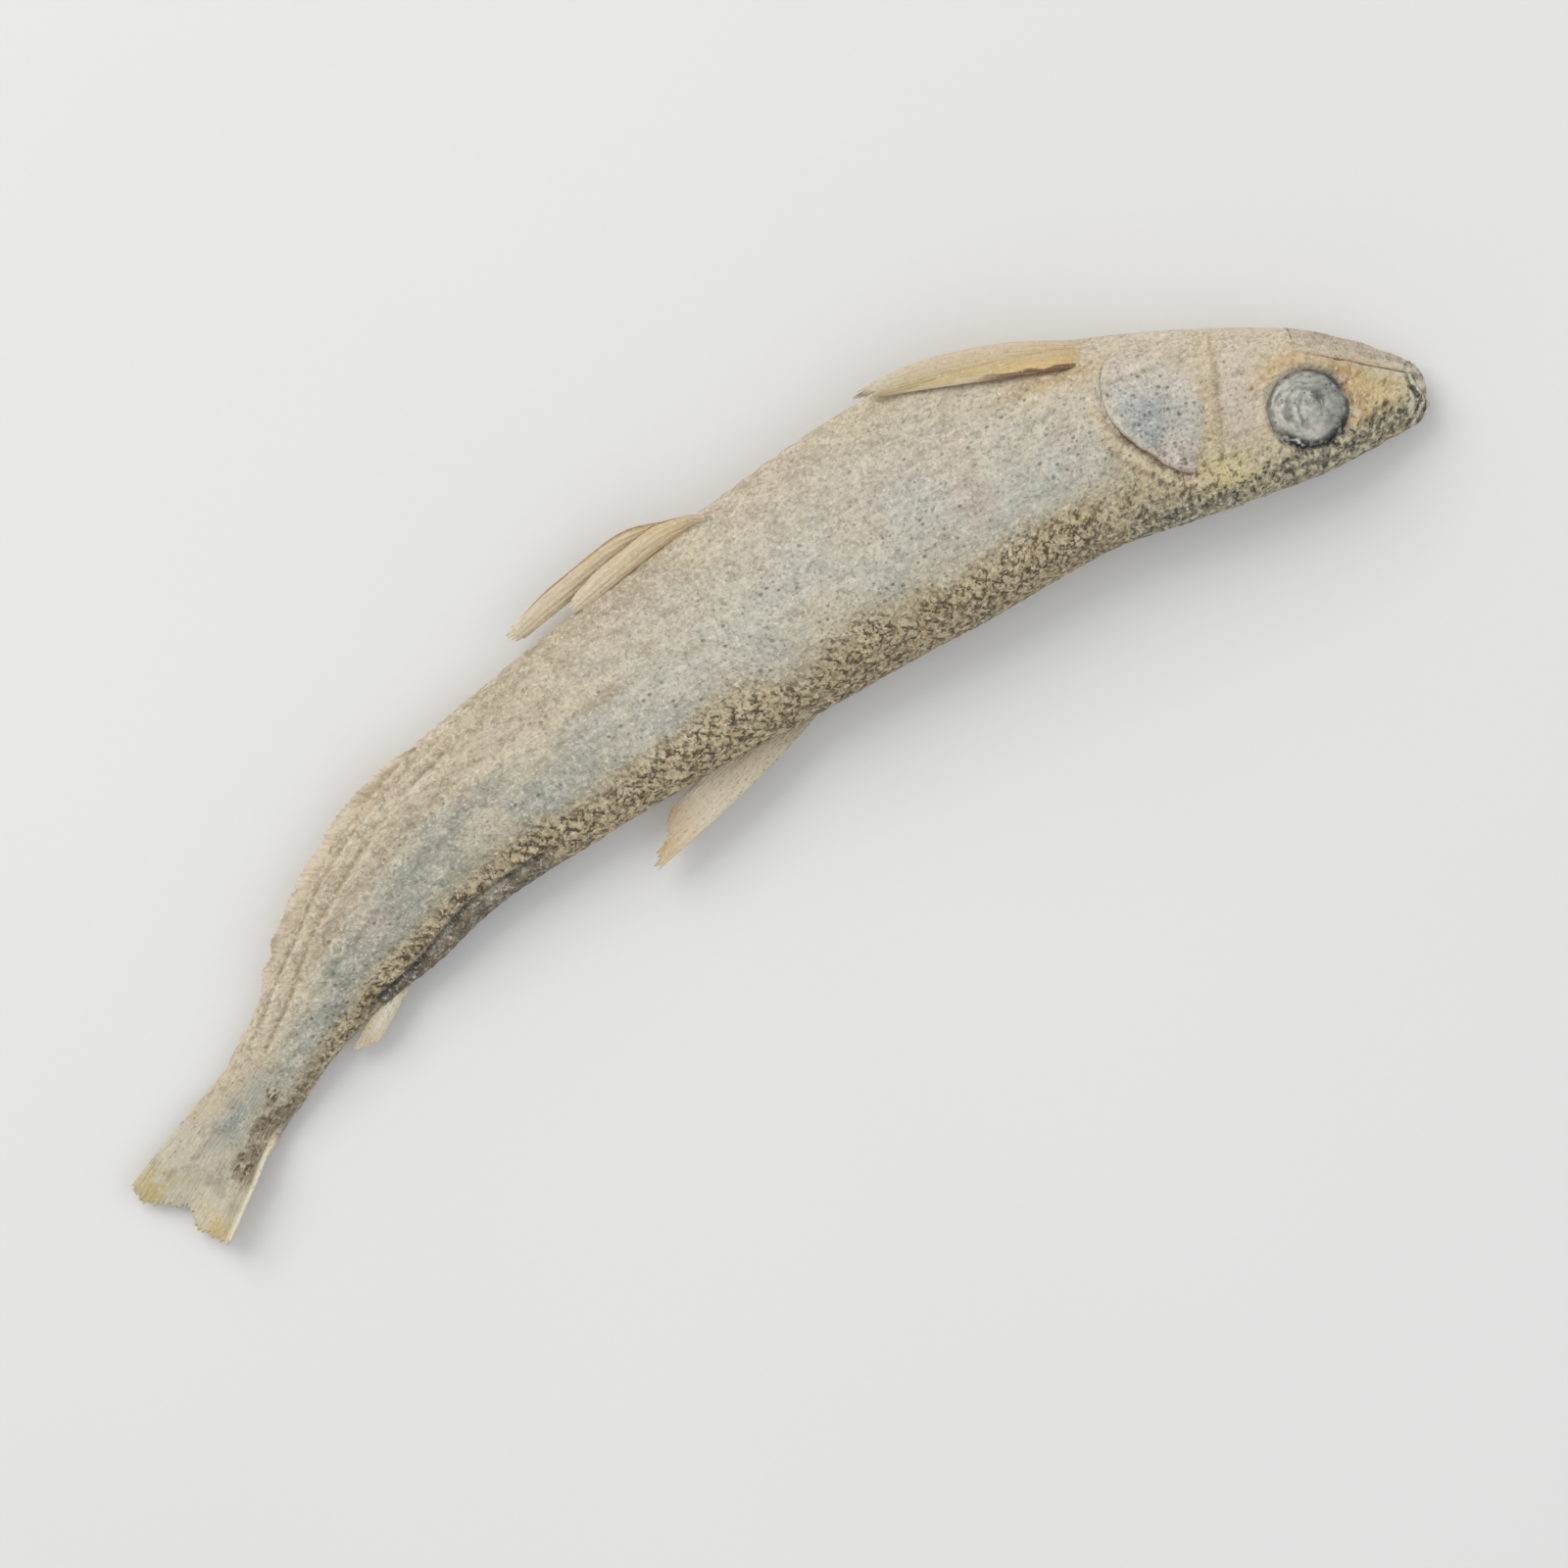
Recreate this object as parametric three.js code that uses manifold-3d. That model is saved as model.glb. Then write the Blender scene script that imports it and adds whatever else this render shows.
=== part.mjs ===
// A small smoked and dried smelt, whole, lying on its right side on a level surface.
//
// Millimetres, +Z up. X runs along the straight line from tail (-X) to snout (+X), the belly is
// towards +Y, the back towards -Y and the left flank faces up. The dried body is bent, hollow side
// at the back, and its under flank dried flat where it lay on the rack: that flat is the plane Z = 0.
//
// Every piece is shaped in the fish's own straight coordinates and then bent onto the fish:
//   s    distance from the snout along the midline
//   up   distance from the midline towards the back (negative is towards the belly)
//   out  distance from the middle plane towards the left flank (negative is the right flank)
import * as THREE from "three";
import { mergeVertices } from "three/addons/utils/BufferGeometryUtils.js";
import Module from "manifold-3d";

const wasm = await Module();
wasm.setup();

const { lerp, smoothstep, degToRad } = THREE.MathUtils;

// ---------------------------------------------------------------- driving dimensions

const bodyLength = 109; // snout to the root of the tail fin, along the bent midline
const bodyDepth = 19.4; // back to belly, at the deepest place
const bodyThickness = 8.6; // flank to flank, at the thickest place
const driedFlat = 0.35; // how far the under flank is pressed flat
const headLift = 0.85; // the head and the tail dried just clear of the rack
const tailLift = 0.65;
const snoutRounding = 1.3;
const stalkRounding = 2.2; // the rounded end of the tail stalk inside the tail fin's root
const gap = 0.3; // between a piece and the piece that it sits in or on

const eyeRadius = 3.3;
const eyeThickness = 2.4;
const eyeBulge = 0.3; // the eye's middle above the skin
const eyeUp = 0.1; // the eye's middle from the midline, towards the back

const gillCoverLength = 7.8; // along the fish
const gillCoverHeight = 11.2; // towards the back
const gillCoverThickness = 0.8;
const gillCoverProud = 0.2; // the cover's middle above the skin
const gillCoverInset = 0.45; // the cover's lower edge from the belly's edge
const gillCoverLean = 0.14; // the upper corner lies forward of the lower edge

const jawLength = 10.5; // chin to the corner of the mouth
const jawDepthAtCorner = 2.1; // belly side of the head to the mouth line
const chinLength = 1.5; // the lower jaw's tip stands up in front of the upper jaw
const chinUp = 0.4; // its top, from the midline
const chinDrop = 2.2; // from there down to the mouth line

const finThickness = 0.5;
const dorsalBase = 9;
const dorsalReach = 19; // front of the base to the tip, folded back
const dorsalHeight = 4.6;
const adiposeReach = 6.2;
const adiposeHeight = 1.5;
const analBase = 19;
const analHeight = 1.1;
const analRays = 13; // ray ends that show as scallops
const tailFinLength = 9.5;
const tailFinSpread = 9.2;
const tailFinLean = 0.7; // how far its end leans towards the belly
const tailFork = 1.9; // depth of the fork between the lobes
const tailRootReach = 0.3; // how far the root stands out past the stalk on each side
const tailRootWrap = 75; // degrees that the root reaches round the stalk's end, each way
const pectoralLength = 15.5;
const pectoralWidth = 2.7;
const pelvicWidth = 1.7;
const leftPelvicLength = 12.5;
const rightPelvicLength = 17.5;
const leftPelvicSplay = 0.15; // the tip's distance from the belly edge
const rightPelvicSplay = 0.9;

const bendAtNeck = { from: 0.14, to: 0.42, degrees: 26.5 }; // where along the body, as shares
const bendAtTail = { from: 0.69, to: 0.92, degrees: 28.5 };

const bodySides = 32;
const bodyRings = 84;

// Places along the body, from the snout.
const station = (share) => share * bodyLength;
const eyeStation = station(0.087);
const gillStation = station(0.19);
const pectoralStation = station(0.226);
const dorsalStation = station(0.487);
const pelvicStation = station(0.495);
const analStation = station(0.745);
const adiposeStation = station(0.87);

// ---------------------------------------------------------------- the bent body

// A smooth curve through knots [[x, y], ...]: cubic pieces whose slopes come from the neighbours.
function through(knots, x) {
  const slope = (i) => {
    const a = knots[Math.max(i - 1, 0)];
    const b = knots[Math.min(i + 1, knots.length - 1)];
    return (b[1] - a[1]) / (b[0] - a[0]);
  };
  const at = THREE.MathUtils.clamp(x, knots[0][0], knots.at(-1)[0]);
  const i = Math.max(0, knots.findLastIndex((k, n) => k[0] <= at && n < knots.length - 1));
  const [[x0, y0], [x1, y1]] = [knots[i], knots[i + 1]];
  const width = x1 - x0;
  const t = (at - x0) / width;
  const rise = y1 - y0;
  const start = slope(i) * width;
  const end = slope(i + 1) * width;
  return y0 + t * start + t * t * (3 * rise - 2 * start - end) + t * t * t * (start + end - 2 * rise);
}

// Shares of the body's depth on each side of the midline, and of its thickness, against shares of
// its length.
const bellyKnots = [
  [0, 0.105], [0.028, 0.192], [0.056, 0.262], [0.087, 0.316], [0.13, 0.352], [0.18, 0.378],
  [0.229, 0.403], [0.28, 0.45], [0.35, 0.505], [0.47, 0.492], [0.6, 0.432], [0.74, 0.348],
  [0.85, 0.266], [0.945, 0.204], [1, 0.2],
];
const backKnots = [
  [0, 0.08], [0.028, 0.142], [0.056, 0.206], [0.087, 0.263], [0.17, 0.368], [0.24, 0.42],
  [0.34, 0.482], [0.47, 0.436], [0.6, 0.382], [0.74, 0.352], [0.84, 0.305], [0.91, 0.195],
  [0.955, 0.142], [1, 0.122],
];
const thicknessKnots = [
  [0, 0.26], [0.037, 0.5], [0.087, 0.78], [0.17, 0.93], [0.28, 1], [0.42, 0.98], [0.56, 0.86],
  [0.74, 0.62], [0.85, 0.48], [0.945, 0.34], [1, 0.2],
];
// How much fuller the flank is towards the back than towards the belly.
const fullnessKnots = [[0, 0.02], [0.17, 0.08], [0.3, 0.3], [0.6, 0.32], [0.8, 0.12], [1, 0]];

// 0 at the tip of a rounded end, 1 once inside it, along a quarter of an ellipse.
const rounded = (inside, length) => Math.sqrt(Math.max(0, 1 - (1 - Math.min(inside / length, 1)) ** 2));
const ends = (s) => rounded(s, snoutRounding) * rounded(bodyLength - s, stalkRounding);
const bellyReach = (s) => bodyDepth * through(bellyKnots, s / bodyLength);
const backReach = (s) => bodyDepth * through(backKnots, s / bodyLength);
const halfThickness = (s) => (bodyThickness / 2) * through(thicknessKnots, s / bodyLength);

// The middle plane's height over the rack: the trunk is pressed flat, and head and tail lie just clear.
function midHeight(s) {
  const t = s / bodyLength;
  const lift = headLift * (1 - smoothstep(t, 0.14, 0.34)) + tailLift * smoothstep(t, 0.62, 0.9);
  return halfThickness(Math.min(s, bodyLength)) - driedFlat + lift;
}

// The midline's heading, as an angle from -X towards +Y, and its points at even steps of s.
function heading(s) {
  const t = s / bodyLength;
  const turn = (bend) => bend.degrees * smoothstep(t, bend.from, bend.to);
  return degToRad(bendAtNeck.degrees - turn(bendAtNeck) - turn(bendAtTail));
}
const midlineStep = 0.25;
const midlineEnd = bodyLength + 2 * tailFinLength;
const midline = [new THREE.Vector2(0, 0)];
for (let s = 0; s < midlineEnd; s += midlineStep) {
  const turn = heading(s + midlineStep / 2);
  const last = midline.at(-1);
  midline.push(new THREE.Vector2(
    last.x - midlineStep * Math.cos(turn),
    last.y + midlineStep * Math.sin(turn),
  ));
}

// The point at (s, up, out) of the bent fish.
function place(s, up, out) {
  const i = THREE.MathUtils.clamp(Math.floor(s / midlineStep), 0, midline.length - 2);
  const on = midline[i].clone().lerp(midline[i + 1], s / midlineStep - i);
  const turn = heading(s);
  return new THREE.Vector3(
    on.x - up * Math.sin(turn),
    on.y - up * Math.cos(turn),
    midHeight(s) + out,
  );
}

// How far the skin lies from the midline on up's side, and the section's angle at up.
const reach = (s, up) => (up > 0 ? backReach(s) : bellyReach(s));
const angleAt = (s, up) => Math.acos(THREE.MathUtils.clamp(up / (0.999 * reach(s, up)), -1, 1));

// The skin's distance out of the middle plane, at an angle round the section.
function outAt(s, angle) {
  const fullness = 1 + through(fullnessKnots, s / bodyLength) * Math.cos(angle);
  return halfThickness(s) * ends(s) * Math.sin(angle) * fullness;
}

// The skin at s and at an angle round the section: 0 at the back, 90 at the left flank, 180 at the
// belly. The section is two halves of ellipses, fuller towards the back.
function skin(s, angle) {
  const turn = Math.cos(angle);
  const point = place(s, reach(s, turn) * ends(s) * turn, outAt(s, angle));
  point.z = Math.max(point.z, 0);
  return point;
}

// The point over the flank at (s, up), lifted off the skin. side is 1 on the left and -1 on the right.
function overSkin(s, up, lift, side) {
  const small = 0.05;
  const angle = side * angleAt(s, up);
  const along = skin(s + small, angle).sub(skin(s - small, angle));
  const round = skin(s, angle + small).sub(skin(s, angle - small));
  return skin(s, angle).addScaledVector(round.cross(along).normalize(), lift);
}

// ---------------------------------------------------------------- shaping and cutting

// The geometry with each corner (x, y, z) moved to where map puts it, and its shared corners merged.
function reshape(geometry, map) {
  const source = geometry.getAttribute("position");
  const moved = [];
  for (let i = 0; i < source.count; i++) {
    moved.push(...map(source.getX(i), source.getY(i), source.getZ(i)).toArray());
  }
  const made = new THREE.BufferGeometry();
  made.setIndex(geometry.index ?? [...Array(source.count).keys()]);
  made.setAttribute("position", new THREE.Float32BufferAttribute(moved, 3));
  return facingOut(mergeVertices(made, 1e-4));
}

// A map that mirrors turns the faces inwards; this turns them back.
function facingOut(geometry) {
  const corners = geometry.getAttribute("position");
  const index = geometry.index.array;
  const [a, b, c] = [new THREE.Vector3(), new THREE.Vector3(), new THREE.Vector3()];
  let volume = 0;
  for (let i = 0; i < index.length; i += 3) {
    [a, b, c].forEach((corner, n) => corner.fromBufferAttribute(corners, index[i + n]));
    volume += a.dot(b.cross(c));
  }
  for (let i = 0; volume < 0 && i < index.length; i += 3) {
    [index[i + 1], index[i + 2]] = [index[i + 2], index[i + 1]];
  }
  return geometry;
}

function solidOf(geometry) {
  return new wasm.Manifold(new wasm.Mesh({
    numProp: 3,
    vertProperties: geometry.getAttribute("position").array,
    triVerts: new Uint32Array(geometry.index.array),
  }));
}

function geometryOf(solid) {
  const mesh = solid.getMesh();
  const made = new THREE.BufferGeometry();
  made.setIndex([...mesh.triVerts]);
  made.setAttribute("position", new THREE.Float32BufferAttribute(mesh.vertProperties, 3));
  return made;
}

// A flat outline in (s, up) given a thickness in out, its middle at out = 0.
function slab(points, thickness) {
  const outline = new THREE.Shape(points);
  const settings = { depth: thickness, bevelEnabled: false, steps: 1 };
  return new THREE.ExtrudeGeometry(outline, settings).translate(0, 0, -thickness / 2);
}

// ---------------------------------------------------------------- body, eyes, gill covers and jaw

function trunk() {
  const ball = new THREE.SphereGeometry(1, bodySides, bodyRings);
  return reshape(ball, (x, y, z) => {
    const ring = Math.acos(THREE.MathUtils.clamp(y, -1, 1)) / Math.PI;
    const closer = lerp(ring, (1 - Math.cos(Math.PI * ring)) / 2, 0.55); // rings crowd at both ends
    return skin(bodyLength * closer, Math.atan2(z, x));
  });
}

// A flattened ball set in the side of the head. grown adds to every side, for the socket.
function eye(side, grown) {
  const centre = overSkin(eyeStation, eyeUp, eyeBulge - eyeThickness / 2, side);
  const outward = overSkin(eyeStation, eyeUp, 1, side).sub(overSkin(eyeStation, eyeUp, 0, side));
  const ball = new THREE.SphereGeometry(1, 24, 12);
  ball.rotateX(Math.PI / 2);
  ball.scale(eyeRadius + grown, eyeRadius + grown, eyeThickness / 2 + grown);
  const turn = new THREE.Quaternion().setFromUnitVectors(new THREE.Vector3(0, 0, 1), outward);
  return reshape(ball, (x, y, z) => new THREE.Vector3(x, y, z).applyQuaternion(turn).add(centre));
}

// A thin bony plate that tapers to its rim and follows the side of the head.
function gillCover(side, grown) {
  const ball = new THREE.SphereGeometry(1, 28, 8);
  ball.rotateX(Math.PI / 2);
  const middle = gillCoverHeight / 2 + gillCoverInset - bellyReach(gillStation);
  return reshape(ball, (x, y, z) => {
    const up = middle + y * (gillCoverHeight / 2 + grown);
    const s = gillStation + x * (gillCoverLength / 2 + grown) - gillCoverLean * (up - middle);
    const lift = gillCoverProud - gillCoverThickness / 2 + z * (gillCoverThickness / 2 + grown);
    return overSkin(s, up, lift, side);
  });
}

// The space under the mouth line, wide enough to pass through the whole head.
function underMouthLine(grown) {
  const corner = jawLength + grown;
  const cornerUp = jawDepthAtCorner - bellyReach(jawLength) + grown;
  const below = -bodyDepth;
  const outline = [
    new THREE.Vector2(-2 * gap, below),
    new THREE.Vector2(corner, below),
    new THREE.Vector2(corner, cornerUp - 0.5 * jawDepthAtCorner),
    new THREE.Vector2(corner - 0.35 * jawDepthAtCorner, cornerUp),
    new THREE.Vector2(chinLength + grown / 2, chinUp - chinDrop + grown),
    new THREE.Vector2(0.3 * chinLength + grown / 2, chinUp + grown),
    new THREE.Vector2(-2 * gap, chinUp + grown),
  ];
  return reshape(slab(outline, 2 * bodyThickness), place);
}

// ---------------------------------------------------------------- fins

// The root of a middle fin: the point over the back (edge 1) or the belly (edge -1) at (s, height).
const overEdge = (edge) => (s, height, out) => {
  const ridge = reach(s, edge) * ends(s) + gap;
  return place(s, edge * (ridge + height), out);
};

// The point over the flank at (s, up), raised straight out. It may lie beyond the flank's edge.
function overFlank(s, up, raised, side) {
  const kept = THREE.MathUtils.clamp(up, -0.93 * bellyReach(s), 0.93 * backReach(s));
  return place(s, up, side * (outAt(s, angleAt(s, kept)) + raised));
}

// Points from a curve through the given corners, in equal steps.
function smoothLine(corners, steps) {
  const knots = corners.map(([x, y]) => new THREE.Vector2(x, y));
  return new THREE.SplineCurve(knots).getPoints(steps);
}

// Points on the straight root from (from, 0) back to (to, 0), without its ends.
function rootLine(from, to, steps) {
  return Array.from({ length: steps - 1 }, (_, i) =>
    new THREE.Vector2(lerp(from, to, (i + 1) / steps), 0));
}

// Folded back along the back, as it dried: a long lobe on a short root.
function dorsalFin() {
  const start = dorsalStation;
  const tip = start + dorsalReach;
  const edge = smoothLine([
    [start, 0],
    [start + 0.35 * dorsalReach, 0.55 * dorsalHeight],
    [start + 0.72 * dorsalReach, dorsalHeight],
    [tip - 0.06 * dorsalReach, 0.92 * dorsalHeight],
    [tip, 0.66 * dorsalHeight],
    [tip - 0.16 * dorsalReach, 0.4 * dorsalHeight],
    [start + dorsalBase, 0],
  ], 30);
  const outline = [...edge, ...rootLine(start + dorsalBase, start, 6)];
  return reshape(slab(outline, finThickness), overEdge(1));
}

function adiposeFin() {
  const start = adiposeStation;
  const edge = smoothLine([
    [start, 0],
    [start + 0.5 * adiposeReach, 0.7 * adiposeHeight],
    [start + adiposeReach, adiposeHeight],
    [start + 0.92 * adiposeReach, 0.5 * adiposeHeight],
    [start + 0.55 * adiposeReach, 0],
  ], 16);
  const outline = [...edge, ...rootLine(start + 0.55 * adiposeReach, start, 3)];
  return reshape(slab(outline, finThickness), overEdge(1));
}

// A long low fin with the ends of its rays standing out of the shrunken web.
function analFin() {
  const strip = new THREE.BoxGeometry(1, 1, 1, 4 * analRays, 1, 1);
  const leanBack = 0.05 * analBase; // how far the tallest ray's end lies behind its root
  return reshape(strip, (x, y, z) => {
    const t = x + 0.5;
    const high = y + 0.5; // 0 at the root, 1 at the fin's edge
    const rise = Math.sin((Math.PI / 2) * Math.min(1, t / 0.2)) * (1 - 0.45 * smoothstep(t, 0.3, 1));
    const scallop = 1 - 0.16 * Math.abs(Math.sin(Math.PI * analRays * t));
    const height = Math.max(finThickness, analHeight * rise * scallop);
    const s = analStation + t * analBase + leanBack * rise * high;
    return overEdge(-1)(s, high * height, z * finThickness);
  });
}

// Forked, with worn lobes. Its hollow root follows the rounded end of the stalk, a gap away from it.
function tailFin() {
  const end = bodyLength + tailFinLength;
  const half = tailFinSpread / 2;
  const stalk = bodyLength - stalkRounding; // where the stalk's end begins to round
  const steps = 12;
  const root = Array.from({ length: steps + 1 }, (_, i) => {
    const angle = degToRad(tailRootWrap * (1 - (2 * i) / steps));
    const s = stalk + (stalkRounding + gap) * Math.cos(angle);
    return new THREE.Vector2(s, (reach(stalk, angle) + gap) * Math.sin(angle));
  });
  const rootMiddle = (root[0].y + root[steps].y) / 2;
  const middle = rootMiddle - tailFinLean;
  const corner = root[0].y - rootMiddle + tailRootReach;
  const lobe = (side) => smoothLine([
    [root[0].x, rootMiddle + side * corner],
    [bodyLength + 0.25 * tailFinLength, lerp(rootMiddle, middle, 0.3) + side * lerp(corner, half, 0.25)],
    [bodyLength + 0.8 * tailFinLength, middle + side * 0.97 * half],
    [end - 0.08 * tailFinLength, middle + side * half],
    [end, middle + side * 0.72 * half],
    [end - 0.35 * tailFork, middle + side * 0.4 * half],
    [end - tailFork, middle],
  ], 20);
  const outline = [...lobe(-1), ...lobe(1).reverse().slice(1), ...root];
  return reshape(slab(outline, finThickness), place);
}

// Folded against the flank along the belly edge, widest a third of the way down.
function pectoralFin(side) {
  const stations = 22;
  const ball = new THREE.SphereGeometry(1, 10, stations);
  ball.rotateZ(Math.PI / 2);
  return reshape(ball, (x, y, z) => {
    const t = Math.acos(THREE.MathUtils.clamp(-x, -1, 1)) / Math.PI;
    const s = pectoralStation + t * pectoralLength;
    const width = (pectoralWidth / 2) * Math.sin(Math.PI * t ** 0.75) ** 0.6;
    const round = Math.hypot(y, z) || 1;
    const up = lerp(-0.83, -1, t) * bellyReach(s) + (width * y) / round;
    const girth = Math.min(1, 4 * Math.sin(Math.PI * t));
    const raised = 1.7 * gap + (finThickness / 2) * (1 + (girth * z) / round);
    return overFlank(s, up, raised, side);
  });
}

// A narrow folded strip that leaves the belly edge and runs back beside it.
function pelvicFin(side, length, splay) {
  const start = pelvicStation;
  const far = splay + pelvicWidth;
  const outline = [
    ...smoothLine([
      [start, 0],
      [start + 0.3 * length, 0.3 * far + 0.45 * pelvicWidth],
      [start + 0.97 * length, far],
      [start + length, far - 0.35 * pelvicWidth],
      [start + 0.985 * length, splay + 0.12 * pelvicWidth],
      [start + 0.6 * length, 0.55 * splay],
      [start + 0.24 * length, 0],
    ], 24),
    ...rootLine(start + 0.24 * length, start, 3),
  ];
  const apart = side * (gap + finThickness) / 2;
  return reshape(slab(outline, finThickness).translate(0, 0, apart), overEdge(-1));
}

// ---------------------------------------------------------------- the fish

const skinFinish = new THREE.MeshStandardMaterial({ color: 0xbcb6a4, roughness: 0.8, metalness: 0 });
const plateFinish = new THREE.MeshStandardMaterial({ color: 0xc3bda9, roughness: 0.6, metalness: 0 });
const eyeFinish = new THREE.MeshStandardMaterial({ color: 0xaaa99c, roughness: 0.4, metalness: 0 });
const finFinish = new THREE.MeshStandardMaterial({ color: 0xc9b48d, roughness: 0.75, metalness: 0 });

const fish = new THREE.Group();
function add(name, geometry, finish) {
  const mesh = new THREE.Mesh(geometry, finish);
  mesh.name = name;
  fish.add(mesh);
}

const whole = solidOf(trunk());
const sides = [["left", 1], ["right", -1]];
const seats = sides.flatMap(([, side]) => [solidOf(eye(side, gap)), solidOf(gillCover(side, gap))]);
const body = seats.reduce((left, seat) => left.subtract(seat), whole);

add("body", geometryOf(body.subtract(solidOf(underMouthLine(gap)))), skinFinish);
add("lower_jaw", geometryOf(body.intersect(solidOf(underMouthLine(0)))), plateFinish);
for (const [name, side] of sides) {
  add(`${name}_eye`, eye(side, 0), eyeFinish);
  add(`${name}_gill_cover`, gillCover(side, 0), plateFinish);
  add(`${name}_pectoral_fin`, pectoralFin(side), finFinish);
}
add("left_pelvic_fin", pelvicFin(1, leftPelvicLength, leftPelvicSplay), finFinish);
add("right_pelvic_fin", pelvicFin(-1, rightPelvicLength, rightPelvicSplay), finFinish);
add("dorsal_fin", dorsalFin(), finFinish);
add("adipose_fin", adiposeFin(), finFinish);
add("anal_fin", analFin(), finFinish);
add("tail_fin", tailFin(), finFinish);

// The origin is the middle of the fish's outline on the plane that it rests on.
const outlineBox = new THREE.Box3().setFromObject(fish, true);
const middle = outlineBox.getCenter(new THREE.Vector3());
for (const mesh of fish.children) {
  mesh.position.set(-middle.x, -middle.y, 0);
}

export default fish;
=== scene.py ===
"""A small smoked and dried fish, whole, lying on its right flank on a pale surface.

Sizes are in millimetres and become metres where a mesh is made. Every piece is worked out in the
fish's own straight coordinates and then bent onto the fish:
  s    distance from the snout along the midline
  up   distance from the midline towards the back (negative is towards the belly)
  out  distance from the middle plane towards the left flank (negative is the right flank)
"""

import bpy
import mathutils
import numpy as np
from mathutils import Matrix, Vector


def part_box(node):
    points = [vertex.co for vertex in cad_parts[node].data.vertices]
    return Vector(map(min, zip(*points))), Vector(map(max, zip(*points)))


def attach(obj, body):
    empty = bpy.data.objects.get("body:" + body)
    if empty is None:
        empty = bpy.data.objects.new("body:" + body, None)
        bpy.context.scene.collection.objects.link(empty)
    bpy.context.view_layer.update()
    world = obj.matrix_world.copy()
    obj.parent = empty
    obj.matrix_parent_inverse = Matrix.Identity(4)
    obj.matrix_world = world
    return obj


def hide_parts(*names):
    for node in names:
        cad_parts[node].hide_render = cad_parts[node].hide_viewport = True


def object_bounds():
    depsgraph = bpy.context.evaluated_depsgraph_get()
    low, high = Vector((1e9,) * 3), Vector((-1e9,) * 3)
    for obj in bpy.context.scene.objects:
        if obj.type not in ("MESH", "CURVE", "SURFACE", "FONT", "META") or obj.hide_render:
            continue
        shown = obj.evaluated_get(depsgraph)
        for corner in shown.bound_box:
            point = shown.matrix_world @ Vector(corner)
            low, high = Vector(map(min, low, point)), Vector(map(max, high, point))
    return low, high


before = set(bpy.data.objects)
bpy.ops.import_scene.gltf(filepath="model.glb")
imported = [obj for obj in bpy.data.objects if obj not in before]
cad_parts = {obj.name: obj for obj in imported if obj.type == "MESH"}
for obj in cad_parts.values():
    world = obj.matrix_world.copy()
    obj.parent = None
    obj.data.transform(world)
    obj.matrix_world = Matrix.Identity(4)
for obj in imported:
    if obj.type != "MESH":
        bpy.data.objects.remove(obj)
cad_box = [list(corner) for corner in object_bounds()]

# ---------------------------------------------------------------- the surface, the light and the camera
# A plain pale table top. The fish lies flat on it, so the camera looks straight down. One broad
# window light comes from beyond the belly, and the room fills the shadows.

MM = 0.001
fish_low, fish_high = (np.array(corner) for corner in cad_box)
fish_middle = (fish_low + fish_high) / 2
view_width = 0.119  # of the table top that the camera takes in, in metres
view_height = 0.60
view_roll = -33.5  # degrees: the snout points to the upper right
view_right, view_up = 0.0046, -0.0066  # from the middle of the fish's box to the middle of the view


def wire(tree, kind, inputs=None, **settings):
    """A new node. inputs gives each socket a value or another node's output; settings are its options."""
    made = tree.nodes.new(kind)
    for name, value in settings.items():
        setattr(made, name, value)
    for socket, value in (inputs or {}).items():
        if isinstance(value, bpy.types.NodeSocket):
            tree.links.new(value, made.inputs[socket])
        else:
            made.inputs[socket].default_value = value
    return made


def as_light(colours):
    """Colours as the eye reads them, 0 to 255 each, as the linear light that the shader wants."""
    share = np.clip(colours, 0, 255) / 255
    return np.where(share <= 0.04045, share / 12.92, ((share + 0.055) / 1.055) ** 2.4)


def linear(red, green, blue):
    """One such colour as a shader socket's value."""
    return (*as_light([red, green, blue]).tolist(), 1.0)


def new_material(name):
    """An empty node material and its shader."""
    material = bpy.data.materials.new(name)
    material.use_nodes = True
    return material, material.node_tree, material.node_tree.nodes["Principled BSDF"]


def give_relief(tree, shader, height, strength, depth):
    """Fine relief from a height of 0 to 1, depth in metres."""
    bump = wire(tree, "ShaderNodeBump", {"Height": height, "Strength": strength, "Distance": depth})
    tree.links.new(bump.outputs["Normal"], shader.inputs["Normal"])


def table_material():
    """Pale matt board: a faint cloudiness and the finest tooth."""
    material, tree, shader = new_material("table_top")
    object_place = wire(tree, "ShaderNodeTexCoord").outputs["Object"]
    cloud = wire(tree, "ShaderNodeTexNoise", {"Vector": object_place, "Scale": 9.0, "Detail": 3.0})
    tone = wire(tree, "ShaderNodeValToRGB", {"Fac": cloud.outputs["Fac"]})
    tone.color_ramp.elements[0].color = linear(232, 231, 228)
    tone.color_ramp.elements[1].color = linear(239, 238, 236)
    tree.links.new(tone.outputs["Color"], shader.inputs["Base Color"])
    tooth = wire(tree, "ShaderNodeTexNoise", {"Vector": object_place, "Scale": 1500.0, "Detail": 2.0})
    give_relief(tree, shader, tooth.outputs["Fac"], 0.08, 0.0002)
    shader.inputs["Roughness"].default_value = 0.7
    return material


def soft_light(name, place, size, power, colour):
    """A square light that faces the fish."""
    lamp = bpy.data.lights.new(name, "AREA")
    lamp.size = size
    lamp.energy = power
    lamp.color = colour
    holder = bpy.data.objects.new(name, lamp)
    bpy.context.scene.collection.objects.link(holder)
    holder.location = place
    aim = mathutils.Vector(place) - mathutils.Vector((fish_middle[0], fish_middle[1], 0))
    holder.rotation_euler = aim.to_track_quat("Z", "Y").to_euler()


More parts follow.
